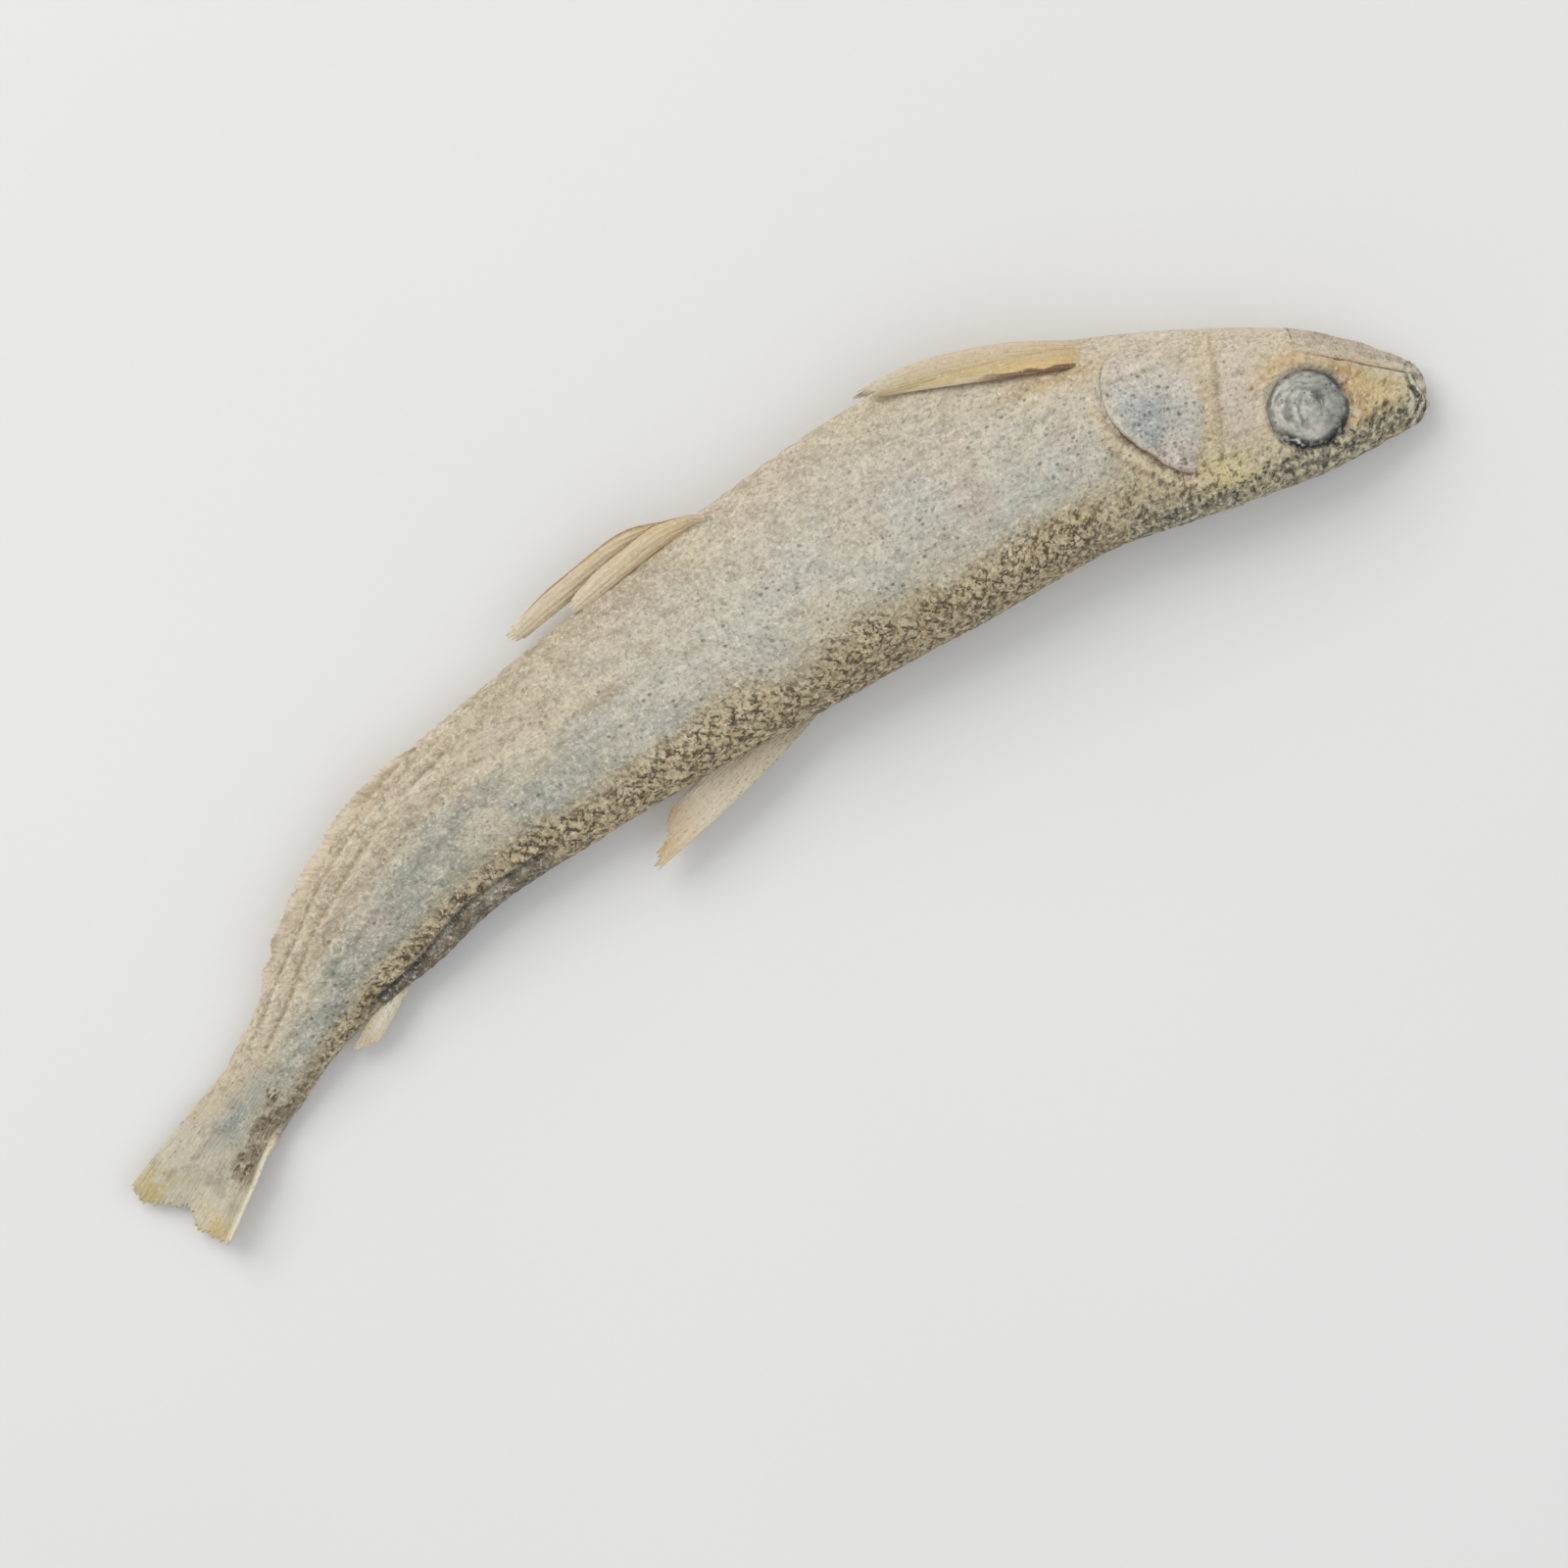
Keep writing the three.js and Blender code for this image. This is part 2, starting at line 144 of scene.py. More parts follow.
table_half = 1.5
table_mesh = bpy.data.meshes.new("table_top")
table_corners = [(-table_half, -table_half, 0), (table_half, -table_half, 0),
                 (table_half, table_half, 0), (-table_half, table_half, 0)]
table_mesh.from_pydata(table_corners, [], [(0, 1, 2, 3)])
table_mesh.materials.append(table_material())
table_top = bpy.data.objects.new("table_top", table_mesh)
bpy.context.scene.collection.objects.link(table_top)

soft_light("window", (-0.12, 0.52, 0.50), 0.55, 2.6, (1.0, 0.985, 0.955))
soft_light("room", (0.45, -0.40, 0.55), 0.9, 0.9, (0.94, 0.97, 1.0))
room = bpy.data.worlds.new("room")
room.use_nodes = True
room.node_tree.nodes["Background"].inputs["Color"].default_value = (0.95, 0.97, 1.0, 1.0)
room.node_tree.nodes["Background"].inputs["Strength"].default_value = 0.62
bpy.context.scene.world = room
bpy.context.scene.view_settings.view_transform = "Standard"

lens = bpy.data.cameras.new("camera")
lens.sensor_width = 36.0
lens.lens = lens.sensor_width * view_height / view_width
lens.clip_start = 0.01
camera = bpy.data.objects.new("camera", lens)
bpy.context.scene.collection.objects.link(camera)
roll = np.radians(view_roll)
camera.location = (fish_middle[0] + (view_right * np.cos(roll) - view_up * np.sin(roll)),
                   fish_middle[1] + (view_right * np.sin(roll) + view_up * np.cos(roll)), view_height)
camera.rotation_euler = (0, 0, roll)
bpy.context.scene.camera = camera

# ---------------------------------------------------------------- body
# Head, trunk and tail stalk in one dried skin over the flesh and bone, bent towards the back. It
# shrank as it dried: furrows run along it, the scales stand in relief near the back, and the under
# flank is pressed flat where it lay.

body_length = 109.0
body_depth = 19.4
body_thickness = 8.6
dried_flat = 0.35
head_lift, tail_lift = 0.85, 0.65
snout_rounding, stalk_rounding = 1.3, 2.2
tail_reach = 20.0  # how far the midline runs on, under the tail fin
bend_at_neck = (0.14, 0.42, 26.5)  # from, to, as shares of the length, and degrees
bend_at_tail = (0.69, 0.92, 28.5)
belly_knots = [  # shares of the length, and of the body's depth on each side of the midline
    (0, 0.105), (0.028, 0.192), (0.056, 0.262), (0.087, 0.316), (0.13, 0.352), (0.18, 0.378),
    (0.229, 0.403), (0.28, 0.45), (0.35, 0.505), (0.47, 0.492), (0.6, 0.432), (0.74, 0.348),
    (0.85, 0.266), (0.945, 0.204), (1, 0.2),
]
back_knots = [
    (0, 0.08), (0.028, 0.142), (0.056, 0.206), (0.087, 0.263), (0.17, 0.368), (0.24, 0.42),
    (0.34, 0.482), (0.47, 0.436), (0.6, 0.382), (0.74, 0.352), (0.84, 0.305), (0.91, 0.195),
    (0.955, 0.142), (1, 0.122),
]
thickness_knots = [
    (0, 0.26), (0.037, 0.5), (0.087, 0.78), (0.17, 0.93), (0.28, 1), (0.42, 0.98), (0.56, 0.86),
    (0.74, 0.62), (0.85, 0.48), (0.945, 0.34), (1, 0.2),
]
fullness_knots = [(0, 0.02), (0.17, 0.08), (0.3, 0.3), (0.6, 0.32), (0.8, 0.12), (1, 0)]

eye_station, eye_up, eye_radius = 0.087 * body_length, 0.1, 3.3
gill_station, gill_up, gill_length, gill_height, gill_lean = 0.19 * body_length, -1.4, 7.8, 11.2, 0.14
jaw_length, jaw_depth = 10.5, 2.1
chin_length, chin_up, chin_drop = 1.5, 0.4, 2.2
mouth_gap = 0.08
mouth_brown = (150, 122, 88)  # inside the mouth

scale_long, scale_wide = 1.3, 1.05  # one scale's diamond, along and across the fish
body_rings, body_sides = 560, 168
head_end = 27.0  # back to here the rings are close together


def through(knots, x):
    """Smooth curve through the knots: cubic pieces, with each knot's slope taken from its neighbours."""
    knot_x, knot_y = np.array(knots, float).T
    slope = np.empty_like(knot_y)
    slope[1:-1] = (knot_y[2:] - knot_y[:-2]) / (knot_x[2:] - knot_x[:-2])
    slope[0] = (knot_y[1] - knot_y[0]) / (knot_x[1] - knot_x[0])
    slope[-1] = (knot_y[-1] - knot_y[-2]) / (knot_x[-1] - knot_x[-2])
    x = np.clip(x, knot_x[0], knot_x[-1])
    i = np.clip(np.searchsorted(knot_x, x, side="right") - 1, 0, len(knot_x) - 2)
    width = knot_x[i + 1] - knot_x[i]
    t = (x - knot_x[i]) / width
    rise = knot_y[i + 1] - knot_y[i]
    start, end = slope[i] * width, slope[i + 1] * width
    return knot_y[i] + t * start + t**2 * (3 * rise - 2 * start - end) + t**3 * (start + end - 2 * rise)


def ease(x, low, high):
    """0 up to low, 1 from high, and a smooth S between them."""
    t = np.clip((x - low) / (high - low), 0, 1)
    return t * t * (3 - 2 * t)


def fall(x, low, high):
    """1 up to low, 0 from high, and a smooth S between them."""
    return 1 - ease(x, low, high)


def between(x, low, high, soft):
    """1 from low to high, falling smoothly to 0 over soft on both sides."""
    return ease(x, low - soft, low) * fall(x, high, high + soft)


def bell(x, middle, width):
    """A bell curve, 1 at the middle."""
    return np.exp(-(((x - middle) / width) ** 2))


def oval(x, middle_x, width_x, y, middle_y, width_y):
    """A bell curve over two directions, 1 at its middle."""
    return np.exp(-(((x - middle_x) / width_x) ** 2) - ((y - middle_y) / width_y) ** 2)


def rounded(inside, length):
    """A quarter of an ellipse: 0 at the tip of a rounded end, 1 once length inside it."""
    return np.sqrt(np.maximum(0, 1 - (1 - np.minimum(inside / length, 1)) ** 2))


def belly_reach(s):
    """From the midline to the belly's edge."""
    return body_depth * through(belly_knots, s / body_length)


def back_reach(s):
    """From the midline to the back's edge."""
    return body_depth * through(back_knots, s / body_length)


def reach(s, up):
    """How far the skin lies from the midline on up's side."""
    return np.where(up > 0, back_reach(s), belly_reach(s))


def half_thickness(s):
    """From the middle plane to the flank."""
    return body_thickness / 2 * through(thickness_knots, s / body_length)


def ends(s):
    """1 along the fish, falling to 0 at the rounded snout and at the rounded end of the stalk."""
    return rounded(s, snout_rounding) * rounded(body_length - s, stalk_rounding)


def mid_height(s):
    """Height of the middle plane: half the thickness, less the flat, with head and tail a little higher."""
    t = s / body_length
    lift = head_lift * fall(t, 0.14, 0.34) + tail_lift * ease(t, 0.62, 0.9)
    return half_thickness(s) - dried_flat + lift


def heading(s):
    """The midline's direction at s, as an angle from -X towards +Y."""
    bends = (bend_at_neck, bend_at_tail)
    neck, tail = (degrees * ease(s / body_length, low, high) for low, high, degrees in bends)
    return np.radians(bend_at_neck[2] - neck - tail)


mid_step = 0.25
mid_s = np.arange(0, body_length + tail_reach + mid_step, mid_step)
mid_turns = heading(mid_s[:-1] + mid_step / 2)
mid_x = -np.concatenate([[0], np.cumsum(mid_step * np.cos(mid_turns))])
mid_y = np.concatenate([[0], np.cumsum(mid_step * np.sin(mid_turns))])


def place(s, up, out):
    """Points of the bent fish: along the midline to s, square to it by up, and straight up by out."""
    turn = heading(s)
    x = np.interp(s, mid_s, mid_x) - up * np.sin(turn)
    y = np.interp(s, mid_s, mid_y) - up * np.cos(turn)
    return np.stack(np.broadcast_arrays(x, y, mid_height(s) + out), axis=-1)


def section(s, angle):
    """(up, out) of the smooth skin: two halves of ellipses, fuller towards the back. Angle 0 is the back."""
    turn = np.cos(angle)
    fullness = 1 + through(fullness_knots, s / body_length) * turn
    round_off = ends(s)
    up = reach(s, turn) * round_off * turn
    out = half_thickness(s) * round_off * np.sin(angle) * fullness
    return up, out


def skin(s, angle):
    """The smooth skin's points, none lower than the surface that the fish lies on."""
    points = place(s, *section(s, angle))
    points[..., 2] = np.maximum(points[..., 2], 0)
    return points


def unit(vectors):
    """The vectors' directions, each 1 long."""
    return vectors / np.maximum(np.linalg.norm(vectors, axis=-1, keepdims=True), 1e-9)


def over_skin(s, up, lift, side):
    """The point on the flank at (s, up), lifted square to the skin. side is 1 left, -1 right."""
    small = 0.05
    angle = side * np.arccos(np.clip(up / (0.999 * reach(s, up)), -1, 1))
    along = skin(s + small, angle) - skin(s - small, angle)
    across = skin(s, angle + small) - skin(s, angle - small)
    return skin(s, angle) + np.asarray(lift)[..., None] * unit(np.cross(across, along))


def grain(x, y, z, seed=0):
    """Smooth noise, -1 to 1: a fixed scattered value at each whole-number corner, eased between them."""
    corner = [np.floor(v) for v in (x, y, z)]
    share = [ease(v - c, 0, 1) for v, c in zip((x, y, z), corner)]
    total = 0
    for i, j, k in np.ndindex(2, 2, 2):
        mixed = (corner[0] + i) * 127.1 + (corner[1] + j) * 311.7 + (corner[2] + k) * 74.7 + seed * 53.3
        value = np.sin(mixed) * 43758.5453
        weight = 1
        for at_high, part in zip((i, j, k), share):
            weight = weight * (part if at_high else 1 - part)
        total = total + (2 * (value - np.floor(value)) - 1) * weight
    return total


def rough(x, y, z, seed=0):
    """Noise with finer noise on it: three layers, each half the size and half the strength."""
    return sum(grain(x * 2**n, y * 2**n, z * 2**n, seed + 7 * n) / 2**n for n in range(3)) / 1.75


def mouth_line(s):
    """up of the closed mouth: steeply down behind the lower jaw's tip, then straight to the corner."""
    corner = jaw_length - 0.35 * jaw_depth
    stations = [0, 0.3 * chin_length, chin_length, corner, jaw_length + 0.5]
    ups = [chin_up, chin_up, chin_up - chin_drop, jaw_depth - float(belly_reach(jaw_length))]
    return np.interp(s, stations, [*ups, ups[-1] - 0.4])


def gill_outline(turn):
    """The gill cover's radius at turn from its rear end towards the back, as a share of its ellipse's:
    cut off straight across the upper rear corner."""
    return 1 - 0.25 * bell(turn, 0.95, 0.75) + 0.06 * bell(turn, 2.0, 0.35)


def free_rim(rearward, towards_back):
    """1 round the rear and the back of the gill cover, where its rim stands free of the skin."""
    away = np.maximum(np.hypot(rearward, towards_back), 0.05)
    return ease((rearward * np.cos(0.52) + towards_back * np.sin(0.52)) / away, -0.05, 0.35)


def scale_height(s, girth):
    """Overlapping scales on a diamond net: each rises towards its rear corner and drops at its edge."""
    a = s / scale_long + girth / scale_wide
    b = s / scale_long - girth / scale_wide
    a, b = a - np.floor(a), b - np.floor(b)
    return 0.5 * (a + b) * fall(np.maximum(a, b), 0.8, 1.0)


def closed_mesh(name, rings, attributes=None, flat_ends=False):
    """A closed mesh from a grid of rings: each ring joins the next and its last corner joins its
    first. Each end closes on its middle point or, where the rings are flat loops, with a strip from
    the first half of the loop to the second. attributes are per corner, one number or three."""
    count, around = rings.shape[:2]
    middles = np.concatenate([rings[:1].mean(1), rings[-1:].mean(1)])
    corners = np.concatenate([rings.reshape(-1, 3), middles]) * MM
    ring, side = np.meshgrid(np.arange(count - 1), np.arange(around), indexing="ij")
    after = (side + 1) % around
    here, there = ring * around, (ring + 1) * around
    quads = np.stack([here + side, here + after, there + after, there + side], axis=-1).reshape(-1, 4)
    last = (count - 1) * around
    if flat_ends:
        corners = corners[:-2]
        i = np.arange(around // 2 - 1)
        strip = np.stack([i, around - 1 - i, around - 2 - i, i + 1], axis=-1)
        caps = np.concatenate([strip, last + strip[:, ::-1]])
    else:
        i = np.arange(around)
        start, end = count * around, count * around + 1
        caps = np.concatenate([
            np.stack([np.full(around, start), (i + 1) % around, i], axis=-1),
            np.stack([np.full(around, end), last + i, last + (i + 1) % around], axis=-1),
        ])
    centred = corners - corners.mean(0)
    volume = 0
    for faces in (quads, caps):
        first, second, third, fourth = (centred[faces[:, n]] for n in (0, 1, 2, -1))
        volume += (first * (np.cross(second, third) + np.cross(third, fourth))).sum()
    if volume < 0:
        quads, caps = quads[:, ::-1], caps[:, ::-1]
    loops = np.concatenate([quads.ravel(), caps.ravel()]).astype(np.int32)
    starts = np.concatenate([np.arange(len(quads)) * 4, quads.size + np.arange(len(caps)) * caps.shape[1]])
    mesh = bpy.data.meshes.new(name)
    mesh.vertices.add(len(corners))
    mesh.vertices.foreach_set("co", corners.astype(np.float32).ravel())
    mesh.loops.add(len(loops))
    mesh.loops.foreach_set("vertex_index", loops)
    mesh.polygons.add(len(starts))
    mesh.polygons.foreach_set("loop_start", starts.astype(np.int32))
    mesh.polygons.foreach_set("use_smooth", np.ones(len(starts), bool))
    mesh.update(calc_edges=True)
    for label, values in (attributes or {}).items():
        values = np.asarray(values, float)
        kind, field = ("FLOAT_VECTOR", "vector") if values.ndim == 3 else ("FLOAT", "value")
        flat = values.reshape(count * around, -1)
        if not flat_ends:
            flat = np.concatenate([flat, flat[:around].mean(0)[None], flat[-around:].mean(0)[None]])
        layer = mesh.attributes.new(label, kind, "POINT")
        layer.data.foreach_set(field, flat.astype(np.float32).ravel())
    return mesh


def new_piece(name, mesh, material, slot, *nodes):
    """Puts a finished mesh in the scene in place of its CAD nodes, riding on the fish."""
    mesh.materials.append(material)
    piece = bpy.data.objects.new(name, mesh)
    bpy.context.scene.collection.objects.link(piece)
    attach(piece, "root")
    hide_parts(*nodes)
    return piece


def closeness(s):
    """How tightly the rings stand at s: closest over the head and round both tips."""
    spacing = 0.12 + 0.14 * ease(s, head_end - 6, head_end + 6) - 0.18 * ease(s, body_length - 3, body_length)
    return 1 / spacing


even_s = np.linspace(0, body_length, 4000)
ring_share = np.cumsum(closeness(even_s))
ring_share = (ring_share - ring_share[0]) / (ring_share[-1] - ring_share[0])
body_s = np.interp(np.linspace(0, 1, body_rings + 2)[1:-1], ring_share, even_s)[:, None]


def half_turn(corners):
    """Angles over half a turn, closer at the flank than at the edges, so that the steps are even."""
    t = np.arange(corners) / corners
    return np.pi * t + np.sin(2 * np.pi * t) / 6


upper_corners = 104  # over the left flank
under_corners = body_sides - upper_corners
body_angle = np.concatenate([half_turn(upper_corners), np.pi + half_turn(under_corners)])[None, :]


def jaw_drop(s):
    """How far the mouth's line turns down at its corner."""
    return 4.0 * ease(s, jaw_length - 1.0, jaw_length + 0.3) ** 2


def lip_gap(s):
    """Half the gap at the mouth. Near its corner the skin of the head laps over the jaw instead."""
    return mouth_gap / 2 - (mouth_gap / 2 + 0.07) * ease(s, 8.3, 9.2)


body_up, body_out = section(body_s, body_angle)
mouth_roof = mouth_line(body_s) + lip_gap(body_s) - jaw_drop(body_s)
in_mouth = (body_s < jaw_length + 0.3) & (body_up < mouth_roof)
body_up = np.where(in_mouth, mouth_roof, body_up)
body_points = place(body_s, body_up, body_out)

steps_round = np.linalg.norm(np.roll(body_points, -1, axis=1) - body_points, axis=-1)
round_so_far = np.cumsum(steps_round, axis=1) - steps_round
girth = np.minimum(round_so_far, steps_round.sum(1, keepdims=True) - round_so_far)  # from the back's edge

along = np.gradient(body_points, axis=0)
across = np.roll(body_points, -1, axis=1) - np.roll(body_points, 1, axis=1)
outward = unit(np.cross(across, along))

s, angle = np.broadcast_arrays(body_s, body_angle)
u = np.cos(angle)  # 1 at the back's edge, -1 at the belly's
up, out = body_up, body_out
from_eye = np.hypot(s - eye_station, up - eye_up)
rearward = (s - gill_station + gill_lean * (up - gill_up)) / (gill_length / 2)
towards_back = (up - gill_up) / (gill_height / 2)
free = free_rim(rearward, towards_back)
gill_share = np.hypot(rearward, towards_back) / gill_outline(np.arctan2(towards_back, rearward))
in_gill = ease(1 - gill_share, -0.02, 0.06)
from_gill = np.hypot(rearward * gill_length / 2, towards_back * gill_height / 2)  # from the cover's middle
behind_gill = from_gill * (1 - 1 / np.maximum(gill_share, 0.1))  # from its rim
cheek_ridge = 16.9 - 0.006 * np.minimum(up - 2, 0) ** 2  # s of the bony ridge in front of the gill cover
trunk = ease(s, 25.5, 29)
rear = ease(s, 58, 74)
patchy = grain(s / 4.5, girth / 4, out / 4, 39) + 0.5 * grain(s / 1.6, girth / 1.4, out / 2, 40)
lower_back = 0.12 * bell(s, 49, 5) + 0.12 * bell(s, 60.5, 3.5)  # where the scales reach further down
near_back = ease(u + 0.13 * patchy + lower_back, 0.42, 0.70)
net = near_back * ease(s, 20, 30) * (1 - 0.5 * ease(s, 100, 107))
head_share = fall(s, 22, 28)
nostrils = ((3.6, 0.35), (4.4, 0.7))  # s and up of the two on each side
old_flakes = ((48.9, -1.3, 0.9), (94.9, -0.7, 0.7), (41.3, -1.7, 0.6))  # s, up and radius: loose scales
split = up - back_reach(s) + 1.25 - 0.65 * ease(s, 86, 95) + 0.2 * grain(s / 5, 0, 0, 33)
on_split = between(s, 79, 96, 4)
inside = back_reach(s) - up + 0.15 * patchy  # how far in from the back's edge
crown_band = bell(inside, 1.4, 0.8) * between(s, 0.9, 13, 2.5)
crown_band = crown_band + 0.9 * bell(inside, 1.0, 0.8) * between(s, 15.5, 24, 2)
wavering = 0.22 * grain(s / 4, 0, 0, 37)
creases = (belly_reach(s) + up - 0.85 - wavering, belly_reach(s) + up - 1.9 + 1.6 * wavering)
on_crease = between(s, 81, 103, 4) * (0.4 + 0.6 * ease(grain(s / 3, 0, 0, 38), -0.4, 0.3))


def head_relief():
    """Heights on the head, in mm: eye socket and its double rim, nostrils, bony ridges and creased skin."""
    height = -1.05 * fall(from_eye, eye_radius - 0.35, eye_radius + 0.02)
    height += 0.20 * bell(from_eye, eye_radius + 0.38, 0.26) + 0.10 * bell(from_eye, eye_radius + 1.15, 0.2)
    for station, rise in nostrils:
        away = np.hypot(s - station, up - rise)
        height += 0.08 * bell(away, 0.40, 0.16) - 0.26 * bell(away, 0, 0.22)
    ridge = between(up, -6.2, 2.6, 1.0)
    height += (0.17 * bell(s, cheek_ridge, 0.26) - 0.11 * bell(s, cheek_ridge + 0.6, 0.28)) * ridge
    height -= 0.14 * oval(s, 13.7, 1.8, up, -1.8, 3.0)
    lip = up - mouth_line(s)
    height += 0.17 * between(lip, 0.15, 0.85, 0.22) * between(s, 0.8, 9.6, 0.6) * (1 - in_mouth)
    height -= 0.09 * bell(lip, 1.25, 0.22) * between(s, 1.2, 9.0, 0.8)
    crown = ease(u, 0.6, 0.85) * between(s, 1.0, 23, 1.5)
    height += 0.11 * crown * rough(s / 0.9, girth / 0.6, out / 3, 11)
    tip = fall(s, 1.2, 3.2)
    height += 0.10 * tip * rough(s / 0.45, girth / 0.7, out / 2, 12)
    rays = ease(-u, 0.74, 0.86) * between(s, 11, 23.5, 1.0)
    height += 0.06 * rays * np.sin(2 * np.pi * (up + 0.12 * s) / 0.8)
    height += 0.035 * rough(s / 1.4, girth / 0.8, out / 3, 13)
    return height * (1 - trunk)


def gill_relief():
    """The gill cover's seat, the slit behind it and the folds of loose skin behind that, in mm."""
    height = -0.42 * in_gill * free
    folds = free * ease(up, -5.5, -0.5)
    height -= 0.20 * bell(behind_gill, 0.25, 0.22) * folds
    height += 0.24 * bell(behind_gill, 1.0, 0.42) * folds
    height += 0.13 * bell(behind_gill, 2.1 + 0.2 * grain(up, 0, out, 21), 0.35) * folds
    return height * (np.abs(s - gill_station) < 12)


def trunk_relief():
    """Heights on the trunk, in mm: lumps and furrows from drying, ribs, muscle bands and scales."""
    height = 0.10 * grain(s / 8, girth / 5, out / 4, 31) + 0.05 * grain(s / 3, girth / 2, out / 3, 32)
    wander = 0.35 * grain(s / 11, 0, np.sign(out), 33)
    depth = (back_reach(s) + belly_reach(s)) / 2
    middle = (back_reach(s) - belly_reach(s)) / 2
    lateral = up - middle - 0.05 * depth - wander
    height -= 0.09 * bell(lateral, 0, 0.32) * (0.5 + 0.5 * rear)
    valley = up - middle + 0.34 * depth - wander
    height -= 0.26 * bell(valley, 0, 0.75) * between(s, 66, 101, 8)
    height += 0.13 * bell(valley, 1.25, 0.6) * between(s, 70, 101, 6)
    height -= 0.16 * bell(up - middle - 0.72 * depth - wander, 0, 0.5) * between(s, 72, 98, 6)
    ribs = ease(-u, -0.1, 0.35) * between(s, 31, 56, 4)
    height += 0.035 * ribs * np.sin(2 * np.pi * (s - 0.55 * up) / 2.1 + 1.2 * wander)
    bands = (1 - near_back) * between(s, 34, 104, 6)
    height += 0.028 * bands * np.sin(2 * np.pi * (s + 0.7 * np.abs(lateral)) / 1.8)
    fin_muscle = ease(-u, 0.45, 0.7) * between(s, 77, 100, 2)
    height += 0.05 * fin_muscle * np.sin(2 * np.pi * (s + 0.5 * up) / 0.95)
    height -= 0.13 * (bell(creases[0], 0, 0.17) + bell(creases[1], 0, 0.15)) * on_crease
    height += 0.09 * rough(s / 6, girth / 0.75, out / 3, 34) * (0.35 + 0.65 * rear)
    height += 0.05 * rough(s / 1.6, girth / 0.9, out / 3, 35)
    height += 0.10 * ease(-u, 0.8, 0.95) * rough(s / 1.8, girth / 0.5, out / 2, 36)
    height += (0.02 + 0.06 * net) * (scale_height(s, girth) - 0.5) * between(s, 30, 105, 3)
    height -= (0.55 * bell(split, 0, 0.24) - 0.16 * bell(split, 0.7, 0.3)) * on_split
    return height * trunk


body_relief = (head_relief() + gill_relief() + trunk_relief()) * (1 - in_mouth) * ends(s)
body_points = body_points + body_relief[..., None] * outward
body_points[..., 2] = np.maximum(body_points[..., 2], 0)
to_row = np.array(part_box("body")[0]) / MM - skin(even_s[:, None], body_angle).min((0, 1))
to_row[2] = 0  # the fish's own height is the row's


def cover(base, colour, share):
    """The colour laid over the base where share is 1. Colours are as the eye reads them, 0 to 255."""
    return base + (np.array(colour, float) - base) * np.clip(share, 0, 1)[..., None]


def band_colours(positions, colours, at):
    """Colours blended between the given ones at their positions."""
    return np.stack([np.interp(at, positions, channel) for channel in np.array(colours, float).T], axis=-1)


# how the bands of colour waver along the fish
band_wave = 0.10 * grain(s / 9, girth / 6, out / 5, 41) + 0.06 * grain(s / 2.2, girth / 1.5, out / 3, 42)


def trunk_tint():
    """Bands from cream belly over blue-grey flank to golden back, duller beyond the vent, with blotches."""
    at = u + band_wave
    flank = band_colours(
        [-1.0, -0.75, -0.35, 0.05, 0.38, 0.6, 0.82, 0.95],
        [(200, 184, 156), (198, 186, 164), (199, 192, 174), (195, 191, 176), (190, 184, 166),
         (186, 172, 142), (172, 154, 118), (128, 112, 86)], at)
    tail = band_colours(
        [-1.0, -0.75, -0.4, -0.15, 0.1, 0.4, 0.65, 0.92],
        [(202, 186, 156), (199, 182, 153), (190, 174, 149), (170, 166, 149), (159, 161, 148), (158, 158, 143),
         (162, 150, 124), (122, 109, 88)], at)
    tint = flank + (tail - flank) * ease(s, 60, 80)[..., None]
    blotch = grain(s / 5, girth / 3, out / 4, 43)
    tint = cover(tint, (178, 182, 176), 0.4 * ease(blotch, 0.15, 0.7) * between(u, -0.2, 0.4, 0.3) * trunk)
    tint = cover(tint, (210, 197, 166), 0.5 * ease(-blotch, 0.15, 0.6) * (1 - near_back) * trunk)
    brown = rough(s / 3.5, girth / 1.8, out / 3, 49)
    low_flank = between(u, -0.85, -0.2, 0.2) * ease(s, 50, 60)
    tint = cover(tint, (166, 144, 118), 0.5 * ease(brown, 0.1, 0.5) * low_flank)
    rosy = ease(grain(s / 4, girth / 2.5, out / 4, 44), 0.2, 0.7) * (u < 0.3)
    return cover(tint, (206, 184, 168), 0.4 * rosy)


def head_tint(tint):
    """The head's bands over the trunk's, then a lilac cheek, a golden snout, the skin round the eye and
    the dark crown."""
    head = band_colours(
        [-1.0, -0.6, -0.1, 0.35, 0.62, 0.8, 0.97],
        [(214, 199, 174), (214, 198, 172), (211, 195, 172), (202, 184, 146), (190, 172, 124),
         (160, 148, 112), (156, 142, 116)], u + 0.6 * band_wave)
    tint = tint + (head - tint) * fall(s, 20, 27)[..., None]
    tint = cover(tint, (202, 184, 178), 0.6 * oval(s, 14.6, 1.5, up, -0.6, 3.6))
    snout = fall(s, 6.0, 8.5) * ease(up - mouth_line(s), 0.2, 1.0)
    tint = cover(tint, (222, 192, 128), 0.85 * snout * fall(up - 0.22 * s, 0.4, 1.4))
    tint = cover(tint, (206, 150, 88), 0.6 * snout * ease(grain(s / 1.3, girth / 1.1, out / 2, 45), 0.1, 0.6))
    tint = cover(tint, (204, 156, 92), 0.6 * oval(s, 5.7, 0.7, up, 0.4, 1.2))
    under_eye = bell(from_eye, eye_radius + 0.8, 0.9) * ease(-(up + s * 0.1), -1, 2)
    tint = cover(tint, (206, 162, 98), 0.55 * under_eye)
    behind_eye = bell(from_eye, eye_radius + 0.55, 0.3) * ease(s - eye_station + up, 1, 4)
    tint = cover(tint, (218, 202, 160), 0.75 * behind_eye)
    return cover(tint, (84, 81, 62), 0.85 * crown_band)


